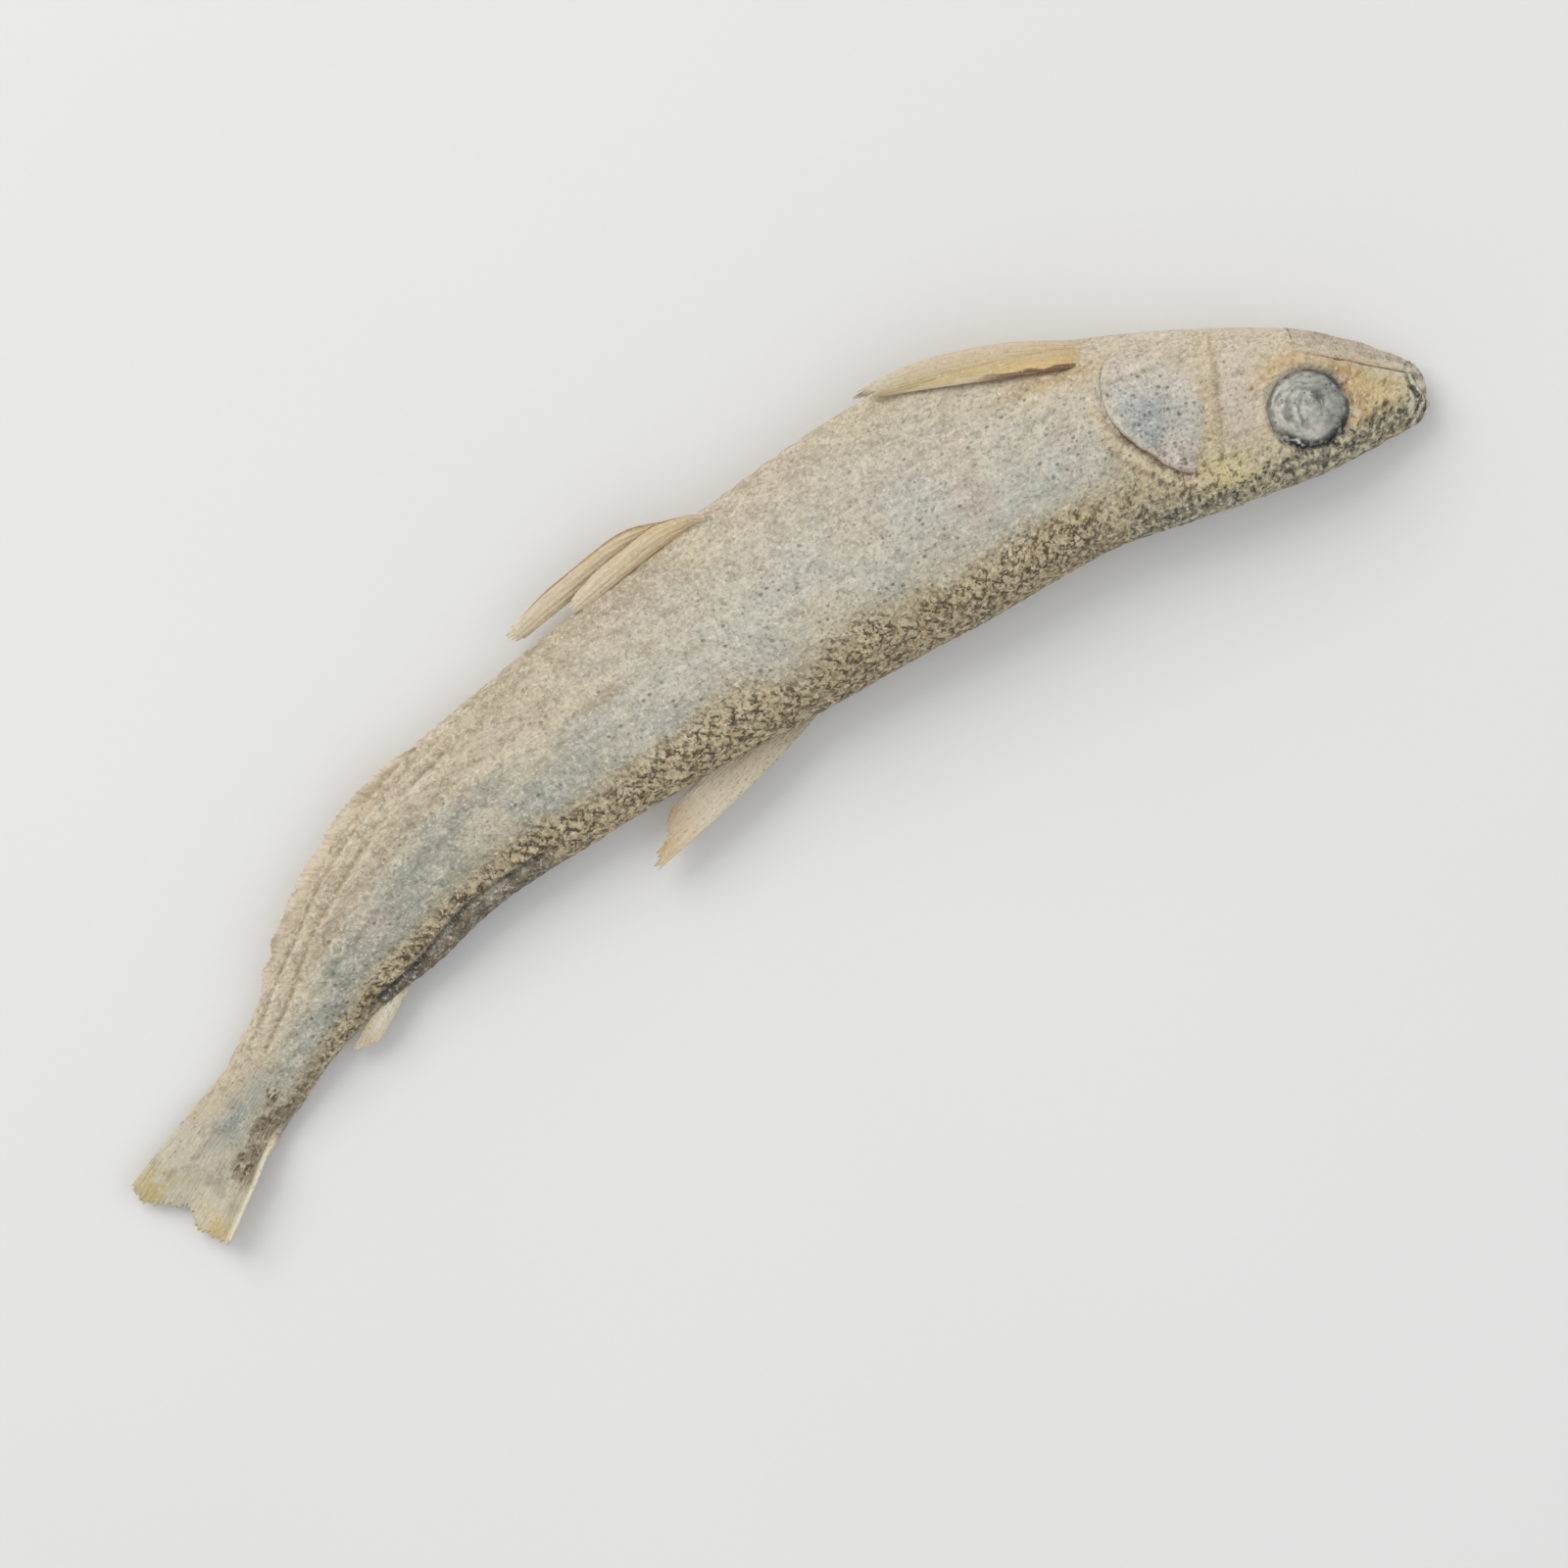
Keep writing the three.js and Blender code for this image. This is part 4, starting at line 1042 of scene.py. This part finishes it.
def gill_cover_surface(side):
    """Rings from the middle of the outside to the rim and back in underneath. Height over the skin is a
    low dome, higher to the rear and sunk at the front, plus waves in the distance from the hinge."""
    share = np.concatenate([np.linspace(0.02, 1, plate_rings), np.linspace(0.97, 0.05, plate_back_rings)])
    share = share[:, None]
    turn = np.linspace(0, 2 * np.pi, plate_around, endpoint=False)[None, :]
    share, turn = np.broadcast_arrays(share, turn)
    turned = np.where(turn > np.pi, turn - 2 * np.pi, turn)
    uneven = gill_outline(turned) + 0.012 * grain(3 * np.cos(turn), 3 * np.sin(turn), side, 81)
    rearward, towards_back = share * uneven * np.cos(turn), share * uneven * np.sin(turn)
    up = gill_up + towards_back * gill_height / 2
    s = gill_station + rearward * gill_length / 2 - gill_lean * (up - gill_up)
    hinge_along = (rearward - hinge_rearward) * gill_length
    hinge_across = (towards_back - hinge_up) * gill_height
    from_hinge, ray_turn = np.hypot(hinge_along, hinge_across) / 2, np.arctan2(hinge_across, hinge_along)
    top = 0.05 + 0.20 * ease(rearward, -0.7, 0.9) + 0.16 * (1 - share**2)
    growth = np.sin(2 * np.pi * (from_hinge + 0.2 * grain(up, s, 0, 82)) / 0.8)
    top += 0.022 * growth * fall(share, 0.9, 1)
    spread = ease(from_hinge, 0.5, 3) * ease(share, 0.3, 0.8) * fall(share, 0.92, 1)
    top += 0.03 * np.sin(15 * ray_turn) * spread
    rolled_rim = bell(share, 0.93, 0.05) * ease(rearward, 0, 0.5)
    top += 0.06 * rough(s / 2.2, up / 2.2, side, 83) + 0.08 * rolled_rim
    seam = towards_back + 0.52 - 0.12 * rearward  # the joint with the smaller plate below it
    top -= 0.09 * bell(seam, 0, 0.035) * between(rearward, -0.75, 0.75, 0.1)
    at_front = (1 - free_rim(rearward, towards_back)) * ease(share, 0.55, 0.98)
    rim = fall(share, 0.9, 1.0)
    hidden = (np.arange(len(share)) >= plate_rings)[:, None]
    outside = top - 0.5 * plate_thickness * (1 - rim) - 0.30 * at_front
    lift = np.where(hidden, top - plate_thickness - 0.30 * at_front, outside)
    points = over_skin(s, up, lift, side)
    tint = band_colours([-1, -0.6, 0.0, 0.55, 1],
                        [(214, 200, 180), (210, 199, 183), (192, 190, 180), (190, 185, 172), (196, 180, 156)],
                        towards_back + 0.15 * rearward)
    tint = cover(tint, (212, 196, 184), 0.55 * ease(grain(s / 2.5, up / 3.5, side, 84), 0.05, 0.6))
    bluish = oval(rearward, 0.32, 0.42, towards_back, 0.15, 0.40)
    tint = cover(tint, (158, 168, 174), 0.75 * bluish)
    near_rim = ease(share, 0.74, 0.93) * (1 - 0.4 * ease(towards_back, 0, 0.8))
    tint = cover(tint, (216, 204, 184), 0.6 * near_rim)
    tint = cover(tint, (202, 189, 166), 0.9 * at_front)
    tint = cover(tint, (210, 196, 174), 0.7 * ease(-towards_back, 0.45, 0.85))
    # Painted shadow: dark brown along the free rim of the cover, on its side of the back, where it lifts.
    painted_rim_shadow = ease(share, 0.94, 1.0) * free_rim(rearward, towards_back) * ease(towards_back, -0.05, 0.3)
    tint = cover(tint, (108, 74, 52), 0.85 * painted_rim_shadow)
    pinkish = oval(rearward, 0.10, 0.5, towards_back, 0.70, 0.16)
    tint = cover(tint, (206, 184, 168), 0.7 * pinkish)
    # Painted glints: near-white specks of reflected light on the pinkish band of the cover.
    painted_glint = oval(rearward, -0.06, 0.24, towards_back, 0.70, 0.10)
    tint = cover(tint, (250, 238, 232), 0.95 * painted_glint * ease(grain(s / 0.4, up / 0.4, 0, 85), -0.4, 0.2))
    streak = oval(rearward, 0.30, 0.13, towards_back, -0.62, 0.20)
    tint = cover(tint, (230, 208, 200), 0.6 * streak)
    tint = cover(tint, (110, 96, 76), 0.3 * bell(seam, 0, 0.03) * between(rearward, -0.75, 0.75, 0.1))
    tint = np.where(hidden[..., None], np.array([150, 130, 100.0]), tint)
    dots = 0.35 + 0.6 * oval(rearward, 0.25, 0.45, towards_back, 0.25, 0.45)
    dots = dots + 0.3 * ease(towards_back, 0.2, 0.7)
    dots = dots * fall(share, 0.85, 0.97)
    spot = np.stack([s, up + 60, 0 * s + 9 * side], axis=-1)
    return points, {"spot": spot, "tint": as_light(tint), "speckle": dots}


for side_name, side in sides:
    plate_points, on_plate = gill_cover_surface(side)
    plate_mesh = closed_mesh(f"{side_name}_gill_plate", plate_points + to_row, on_plate)
    new_piece(f"{side_name}_gill_plate", plate_mesh, bone_finish, "plate", f"{side_name}_gill_cover")

# ---------------------------------------------------------------- pectoral fins
# The pair behind the gills, folded back against the flank beside the belly. Each is a fan of soft
# rays in a thin web that dried to an orange and cream film, with the rays standing as ridges.

pectoral_root, pectoral_length, pectoral_width = 24.4, 15.6, 2.8


def fin_material():
    """Dried fin: mesh colours with streaks along the rays, darker between them, and pale worn flecks."""
    material, tree, shader = new_material("dried_fin")
    spot = attribute(tree, "spot", "Vector")  # along the rays and across them, in mm
    place_mm = object_mm(tree)
    streaks = noise(tree, stretched(tree, spot, 0.6, 3.6, 1.0), 5.0, 0.65)
    grit = noise(tree, stretched(tree, place_mm, 3.4, 3.4, 3.4), 3.0, 0.7)
    ridge = attribute(tree, "ray")
    colour = attribute(tree, "tint", "Color")
    colour = blend(tree, ramp(tree, ridge, 0.30, 0.0, 0.0, 0.42), colour, linear(160, 126, 82))
    colour = two_tone(tree, colour, streaks,
                      (0.5, 0.70, 0.55, (230, 219, 194)), (0.5, 0.3, 0.40, (164, 132, 88)))
    flecks = specks(tree, spot, 0.4, 0.14, 0.38, attribute(tree, "speckle"))
    colour = blend(tree, product(tree, flecks, 0.7), colour, linear(80, 74, 62))
    colour = two_tone(tree, colour, grit,
                      (0.54, 0.70, 0.45, (236, 228, 208)), (0.44, 0.30, 0.35, (134, 112, 80)))
    tree.links.new(colour, shader.inputs["Base Color"])
    tree.links.new(ramp(tree, streaks, 0.3, 0.7, 0.45, 0.68), shader.inputs["Roughness"])
    height = maths(tree, "ADD", streaks, product(tree, grit, 0.7))
    give_relief(tree, shader, height, 0.7, 0.00014)
    return material


def fin_sheet(name, path, rays, thickness, tint, worn, seed, ribbed=0.6, steps=90, per_ray=9, speckle=None):
    """A closed thin sheet round path(t, v), the fin's middle sheet: t from root to tip along the rays
    and v across them, 0 to 1. Each ray is a rounded ridge and the web between two rays is thinner and
    ends short of their tips, by worn as a share of t. ribbed is how far the rays stand out, 0 to 1.
    thickness is the middle sheet's, in mm, or a function of t and v that gives half of it."""
    t = np.linspace(0, 1, steps)[:, None]
    v = np.linspace(0, 1, rays * per_ray + 1)[None, :]
    t, v = np.broadcast_arrays(t, v)
    wandering = v + 0.3 / rays * grain(t * 2.5, v * rays / 2, 0, seed + 2)
    ridge = np.abs(np.cos(np.pi * rays * wandering)) ** 1.3
    torn = worn * (1 - ridge) * (0.6 + 0.8 * np.abs(grain(rays * v, 0, 0, seed)))
    torn = torn + 1.2 * worn * np.abs(grain(rays * v / 2.3, 5, 0, seed + 1))
    along_ray = t * (1 - torn)
    middle = path(along_ray, v)
    facing = unit(np.cross(np.gradient(middle, axis=1), np.gradient(middle, axis=0)))
    if callable(thickness):
        half = thickness(along_ray, v)
    else:
        half = thickness / 2 * (1 - 0.7 * ease(t, 0.55, 1))
    ridge = 1 - ribbed * (1 - ridge)
    half = half - 0.5 * np.minimum(half, 0.11) * (1 - ridge)
    half = half * (0.3 + 0.7 * ease(np.minimum(v, 1 - v), 0, 0.5 / rays)) + 0.012
    left, right = middle + half[..., None] * facing, middle - half[..., None] * facing
    rings = np.concatenate([left, right[:, ::-1]], axis=1)

    def both(values):
        return np.concatenate([values, values[:, ::-1]], axis=1)

    width = np.linalg.norm(np.diff(middle, axis=1), axis=-1).sum(1).max()
    length = np.linalg.norm(np.diff(middle, axis=0), axis=-1).sum(0).max()
    spot = np.stack([along_ray * length, v * width, 0 * v + 5.0 * seed], axis=-1)
    dots = 0 * v if speckle is None else speckle(along_ray, v)
    colours = as_light(tint(along_ray, v))
    on_fin = {"spot": both(spot), "tint": both(colours), "ray": both(ridge), "speckle": both(dots)}
    return closed_mesh(name, rings + to_row, on_fin, flat_ends=True)


def orange_film(t, v):
    """Cream, orange at the root and along the edge on the flank, with a dark painted shadow line along
    that edge where it lifts off the flank.
    """
    tint = band_colours(
        [0, 0.12, 0.4, 0.75, 1],
        [(206, 172, 124), (212, 184, 142), (214, 192, 154), (212, 196, 164), (216, 208, 188)],
        t + 0.08 * grain(t * 6, v * 3, 0, 91))
    orange = ease(v, 0.35, 0.7) * ease(grain(t * 4, v * 3, 0, 92), -0.4, 0.4)
    tint = cover(tint, (206, 180, 122), 0.7 * orange)
    tint = cover(tint, (222, 204, 178), 0.6 * fall(v, 0.1, 0.45))
    jagged = v + 0.10 * grain(t * 16, 0, 0, 93)
    tint = cover(tint, (226, 190, 124), 0.8 * between(jagged, 0.72, 0.84, 0.08) * fall(t, 0.25, 0.5))
    # Painted shadow: the dark brown line under the fin's edge on the flank side, where it lifts.
    tint = cover(tint, (104, 72, 42), 0.9 * ease(jagged, 0.86, 0.93) * fall(t, 0.4, 0.62))
    return cover(tint, (204, 182, 148), 0.8 * fall(t + 0.05 * grain(v * 4, t * 3, 0, 89), 0.03, 0.12))


fin_finish = fin_material()


def pectoral_path(side):
    def path(t, v):
        """A narrow leaf along the flank's edge, arched across. It lies flat out past the belly's edge."""
        s = pectoral_root + pectoral_length * t * (1 - 0.10 * v)
        width = pectoral_width * np.sin(np.pi * (0.14 + 0.80 * t)) ** 0.6
        up = -(0.83 + 0.17 * t) * belly_reach(s) + width * (v - 0.5)
        kept = np.maximum(up, -0.9 * belly_reach(s))
        skin_out = section(s, np.arccos(kept / belly_reach(s)))[1]
        raised = 0.30 + 0.30 * (1 - (2 * v - 1) ** 2) + 0.25 * v * ease(t, 0.1, 0.5)
        raised = raised - 0.95 * fall(t, 0, 0.2) + 0.08 * grain(t * 9, v * 2, 0, 93)
        return place(s, up, side * (skin_out + raised))
    return path


for side_name, side in sides:
    fin_mesh = fin_sheet(f"{side_name}_pectoral", pectoral_path(side), rays=8, thickness=0.26,
                         tint=orange_film, worn=0.05, seed=2 + side)
    new_piece(f"{side_name}_pectoral", fin_mesh, fin_finish, "fin", f"{side_name}_pectoral_fin")

# ---------------------------------------------------------------- pelvic fins
# The pair under the belly, dried into two narrow straps that run back beside it, the right one longer
# and standing further out. Their rays lie side by side like the grain of a reed.

pelvic_root, pelvic_width = 53.6, 1.75


def cream_film(t, v):
    """Cream, with a warmer root and edges."""
    tint = band_colours(
        [0, 0.3, 0.8, 1],
        [(210, 184, 142), (216, 194, 156), (218, 202, 170), (224, 212, 188)],
        t + 0.1 * grain(t * 5, v * 3, 0, 94))
    tint = cover(tint, (206, 168, 116), 0.5 * ease(np.abs(2 * v - 1), 0.5, 0.8) * fall(t, 0.5, 0.8))
    tint = cover(tint, (122, 84, 54), 0.75 * ease(v, 0.86, 0.97) * between(t, 0.2, 0.85, 0.1))
    return cover(tint, (200, 184, 156), 0.9 * fall(t + 0.04 * grain(v * 4, t * 3, 0, 88), 0.03, 0.14))


def pelvic_path(length, splay, offset):
    def path(t, v):
        """A strap from the belly's edge: it leaves it by splay at the tip and keeps one width."""
        s = pelvic_root + length * t * (1 - 0.05 * np.abs(2 * v - 1) ** 3)
        width = pelvic_width * (0.35 + 0.65 * ease(t, 0, 0.35))
        away = -0.5 + (splay + 0.5) * ease(t, 0, 0.45) - 0.5 * fall(t, 0, 0.1)
        drop = away + width * v * (1 - 0.25 * ease(t, 0.75, 1))
        out = offset + 0.18 * np.sin(3.2 * t + 2 * v) * t + 0.35 * (v - 0.5) + 0.3 * (1 - (2 * v - 1) ** 2)
        return place(s, -(belly_reach(s) + drop), out)
    return path


# length, distance of the tip below the belly, place across the fish, and seed of each strap
pelvic_straps = (("left", 12.5, -0.35, 0.75, 9), ("right", 17.8, 0.85, -0.30, 10))
for side_name, length, splay, offset, seed in pelvic_straps:
    fin_mesh = fin_sheet(f"{side_name}_pelvic", pelvic_path(length, splay, offset), rays=5, thickness=0.42,
                         tint=cream_film, worn=0.03, seed=seed)
    new_piece(f"{side_name}_pelvic", fin_mesh, fin_finish, "fin", f"{side_name}_pelvic_fin")

# ---------------------------------------------------------------- dorsal fin
# The fin of the middle back, folded down and back in drying, its longest ray in front. The web is a
# grey cream film that turns orange at its tip.

dorsal_root, dorsal_base, dorsal_reach, dorsal_height = 53.1, 9.5, 18.6, 4.3


def dorsal_path(t, v):
    """Rays from a root along the back: the first is the longest and lies outermost, the last is short."""
    root = dorsal_root + dorsal_base * v
    tip_s = dorsal_root + dorsal_reach - 3.6 * v
    tip_high = dorsal_height - 3.4 * v**0.8
    s = root + (tip_s - root) * t
    high = -0.7 + (tip_high + 0.7) * t ** (0.85 + 0.25 * v) + 0.4 * np.sin(np.pi * t) * (1 - v)
    out = 0.5 * np.sin(2.6 * t + 3 * v) * t + 0.12 * grain(t * 7, v * 5, 0, 95)
    return place(s, back_reach(s) + high, out)


def grey_cream_film(t, v):
    """Grey at the root, then cream, with orange patches at the tip."""
    tint = band_colours(
        [0, 0.25, 0.7, 1],
        [(150, 138, 112), (202, 188, 162), (222, 208, 184), (214, 192, 156)],
        t + 0.08 * grain(t * 5, v * 4, 0, 96))
    return cover(tint, (200, 164, 112), 0.5 * ease(t, 0.7, 1) * ease(grain(t * 4, v * 5, 0, 97), -0.2, 0.5))


def sooty(t, v):
    """Pigment specks, thickest at the root."""
    return 0.75 * fall(t, 0.1, 0.8) + 0.1


dorsal_mesh = fin_sheet("folded_dorsal", dorsal_path, rays=11, thickness=0.30, tint=grey_cream_film,
                        worn=0.05, seed=15, speckle=sooty)
new_piece("folded_dorsal", dorsal_mesh, fin_finish, "fin", "dorsal_fin")

# ---------------------------------------------------------------- adipose fin
# The small fleshy fin between the dorsal and the tail. It has no rays, and dried to a leathery flap.

adipose_root, adipose_base, adipose_reach = 93.4, 4.4, 7.0


def adipose_path(t, v):
    """A flap from a short root on the back, leaning rearwards, rounded at its end."""
    s = adipose_root + adipose_base * v + (adipose_reach - adipose_base * v * 0.75) * t
    high = -0.5 + (2.0 - 1.3 * v + 0.5) * t**0.7 - 0.3 * ease(t, 0.8, 1) * (1 - v)
    return place(s, back_reach(s) + high, 0.18 * np.sin(4 * t + 2 * v) * t)


def leathery(t, v):
    """Brownish at the root, then cream with a pale painted highlight and an orange tip."""
    tint = band_colours([0, 0.3, 1], [(176, 160, 130), (214, 200, 170), (222, 206, 174)], t)
    # Painted highlight: a near-white patch across the middle of the flap.
    tint = cover(tint, (236, 230, 214), 0.6 * bell(v, 0.4, 0.25) * between(t, 0.25, 0.65, 0.15))
    orange = ease(t, 0.7, 0.95) * ease(grain(t * 5, v * 4, 0, 86), -0.2, 0.4)
    return cover(tint, (206, 172, 128), 0.5 * orange)


adipose_mesh = fin_sheet("adipose_flap", adipose_path, rays=3, thickness=0.42, tint=leathery,
                         worn=0.06, seed=17, per_ray=14, speckle=sooty)
new_piece("adipose_flap", adipose_mesh, fin_finish, "fin", "adipose_fin")

# ---------------------------------------------------------------- anal fin
# The long low fin under the tail stalk. It shrank to a thin crinkled strip along the belly's edge, and
# the ends of its rays stand out of the web like the teeth of a fine comb.

anal_root, anal_base, anal_height = 81.0, 19.5, 0.95


def anal_path(t, v):
    """Rays side by side along the belly's edge, tallest at the front, all leaning back."""
    height = anal_height * np.sin(np.pi / 2 * np.minimum(1, (v + 0.004) / 0.2)) * (1 - 0.3 * ease(v, 0.3, 1))
    height = height * (1 - 0.85 * ease(v, 0.86, 1))
    height = height * (1 + 0.45 * grain(v * 13, 0, 0, 100))
    s = anal_root + anal_base * v + 0.9 * t * height
    out = 0.35 + (0.5 * np.sin(9 * v + 1) + 0.35 * grain(v * 22, t * 2, 0, 98)) * t
    return place(s, -(belly_reach(s) - 0.55 + t * (height + 0.55)), out)


def pale_film(t, v):
    """The belly's cream at the root, paler to the ray ends, browned in patches."""
    tint = band_colours(
        [0, 0.35, 0.8, 1],
        [(206, 188, 160), (208, 191, 164), (216, 202, 178), (228, 218, 198)], t)
    return cover(tint, (176, 150, 116), 0.4 * ease(grain(v * 14, t * 2, 0, 99), 0.0, 0.6))


anal_mesh = fin_sheet("anal_comb", anal_path, rays=40, thickness=0.30, tint=pale_film,
                      worn=0.10, seed=19, steps=36, per_ray=6)
new_piece("anal_comb", anal_mesh, fin_finish, "fin", "anal_fin")

# ---------------------------------------------------------------- tail fin
# A short fan, barely forked, worn ragged at its end. Its root is as thick as the stalk, whose skin
# runs out over the rays, and the edge of the back lobe dried folded up.

tail_start, tail_end = body_length - 3.4, body_length + 10.2
fan_stations = [105.6, 107, 109, 112, 115, 119.5]
fan_belly = [-3.72, -3.86, -4.22, -4.95, -5.6, -6.2]  # up of the fan's two edges
fan_back = [2.30, 2.32, 2.22, 2.45, 2.75, 3.15]


def tail_path(t, v):
    """Rays from under the stalk's skin to the worn end, spread between the fan's two edges."""
    side = 2 * v - 1  # -1 at the belly's edge, 1 at the back's
    notch = 1.3 * bell(side, -0.08, 0.3) + 0.7 * ease(np.abs(side), 0.75, 1)
    ragged = 0.30 * grain(v * 9, 0, 0, 105) + 0.18 * grain(v * 23, 0, 0, 106)
    s = tail_start + (tail_end - notch + ragged - tail_start) * t
    belly_edge, back_edge = (np.interp(s, fan_stations, ups) for ups in (fan_belly, fan_back))
    jostled = 0.10 * grain(t * 5, v * 7, 0, 101) * ease(t, 0.3, 0.6)
    up = belly_edge + (back_edge - belly_edge) * v + jostled
    spread = ease(s, 108, 112)
    fold = ease(side, 0.80, 1.0) * spread
    out = 1.1 * fold + (0.35 * np.sin(5 * v + 2.4 * t) + 0.25 * grain(t * 6, v * 6, 0, 102)) * spread
    return place(s, up - 0.35 * fold, out)


def tail_half_thickness(t, v):
    """The stalk's own half section at the root, thinning to a film over the rays."""
    s = tail_start + (tail_end - tail_start) * t
    up = np.interp(s, fan_stations, fan_belly) * (1 - v) + np.interp(s, fan_stations, fan_back) * v
    across = np.sqrt(np.maximum(0, 1 - (up / reach(np.minimum(s, body_length), up)) ** 2))
    stalk = half_thickness(np.minimum(s, body_length)) * across
    return (0.96 * stalk - 0.14) * fall(s, 106.5, 114) + 0.15


def pigment(t, v):
    """1 in the dark strip that runs out from the stalk beside the fan's back edge."""
    s = tail_start + (tail_end - tail_start) * t
    side = 2 * v - 1 + 0.14 * grain(t * 12, v * 6, 0, 87)
    return between(s, 106.5, 113, 2.5) * between(side, 0.30 + 0.25 * ease(s, 110, 115), 0.72, 0.15)


def worn_lobes(t, v):
    """The stalk's colours at the root, then cream, with yellow-brown stains at the tips."""
    s = tail_start + (tail_end - tail_start) * t
    side = 2 * v - 1
    across = band_colours(
        [-1, -0.45, -0.1, 0.45, 0.8],
        [(208, 192, 162), (200, 186, 162), (180, 178, 163), (176, 171, 154), (122, 108, 84)], side)
    tint = cover(across, (206, 198, 176), 0.85 * ease(s + 1.2 * grain(t * 5, v * 5, 0, 103), 109.5, 113.5))
    blue = oval(s, 110.5, 2.6, side, -0.12, 0.3)
    tint = cover(tint, (158, 164, 158), 0.7 * blue)
    tint = cover(tint, (112, 94, 68), 0.7 * pigment(t, v) * ease(rough(t * 20, v * 12, 0, 107), -0.6, 0.1))
    tint = cover(tint, (66, 52, 36), 0.85 * pigment(t, v) * ease(rough(t * 50, v * 26, 0, 110), 0.0, 0.3))
    tint = cover(tint, (216, 206, 180), 0.5 * ease(rough(t * 14, v * 9, 0, 108), 0.05, 0.5))
    tint = cover(tint, (158, 152, 134), 0.5 * ease(rough(t * 14, v * 9, 0, 109), 0.1, 0.5))
    stain = oval(s, 117.9, 1.5, side, -0.68, 0.34)
    stain = stain + oval(s, 118.6, 1.3, side, 0.45, 0.5)
    tint = cover(tint, (202, 176, 104), 0.75 * stain * ease(rough(t * 16, v * 6, 0, 104), -0.6, 0.2))
    return cover(tint, (232, 222, 196), 0.8 * ease(side, 0.82, 0.95) * ease(s, 109, 111))


def stalk_specks(t, v):
    """Thickest over the stalk, towards the back and in the dark strip."""
    specked = (0.5 * fall(t, 0.35, 0.75) + 0.08) * (0.35 + 0.65 * ease(v, 0.3, 0.8))
    return np.clip(specked + 0.8 * pigment(t, v), 0, 1)


tail_mesh = fin_sheet("tail_fan", tail_path, rays=24, thickness=tail_half_thickness, tint=worn_lobes,
                      worn=0.03, seed=23, ribbed=0.3, steps=130, per_ray=7, speckle=stalk_specks)
new_piece("tail_fan", tail_mesh, fin_finish, "fin", "tail_fin")
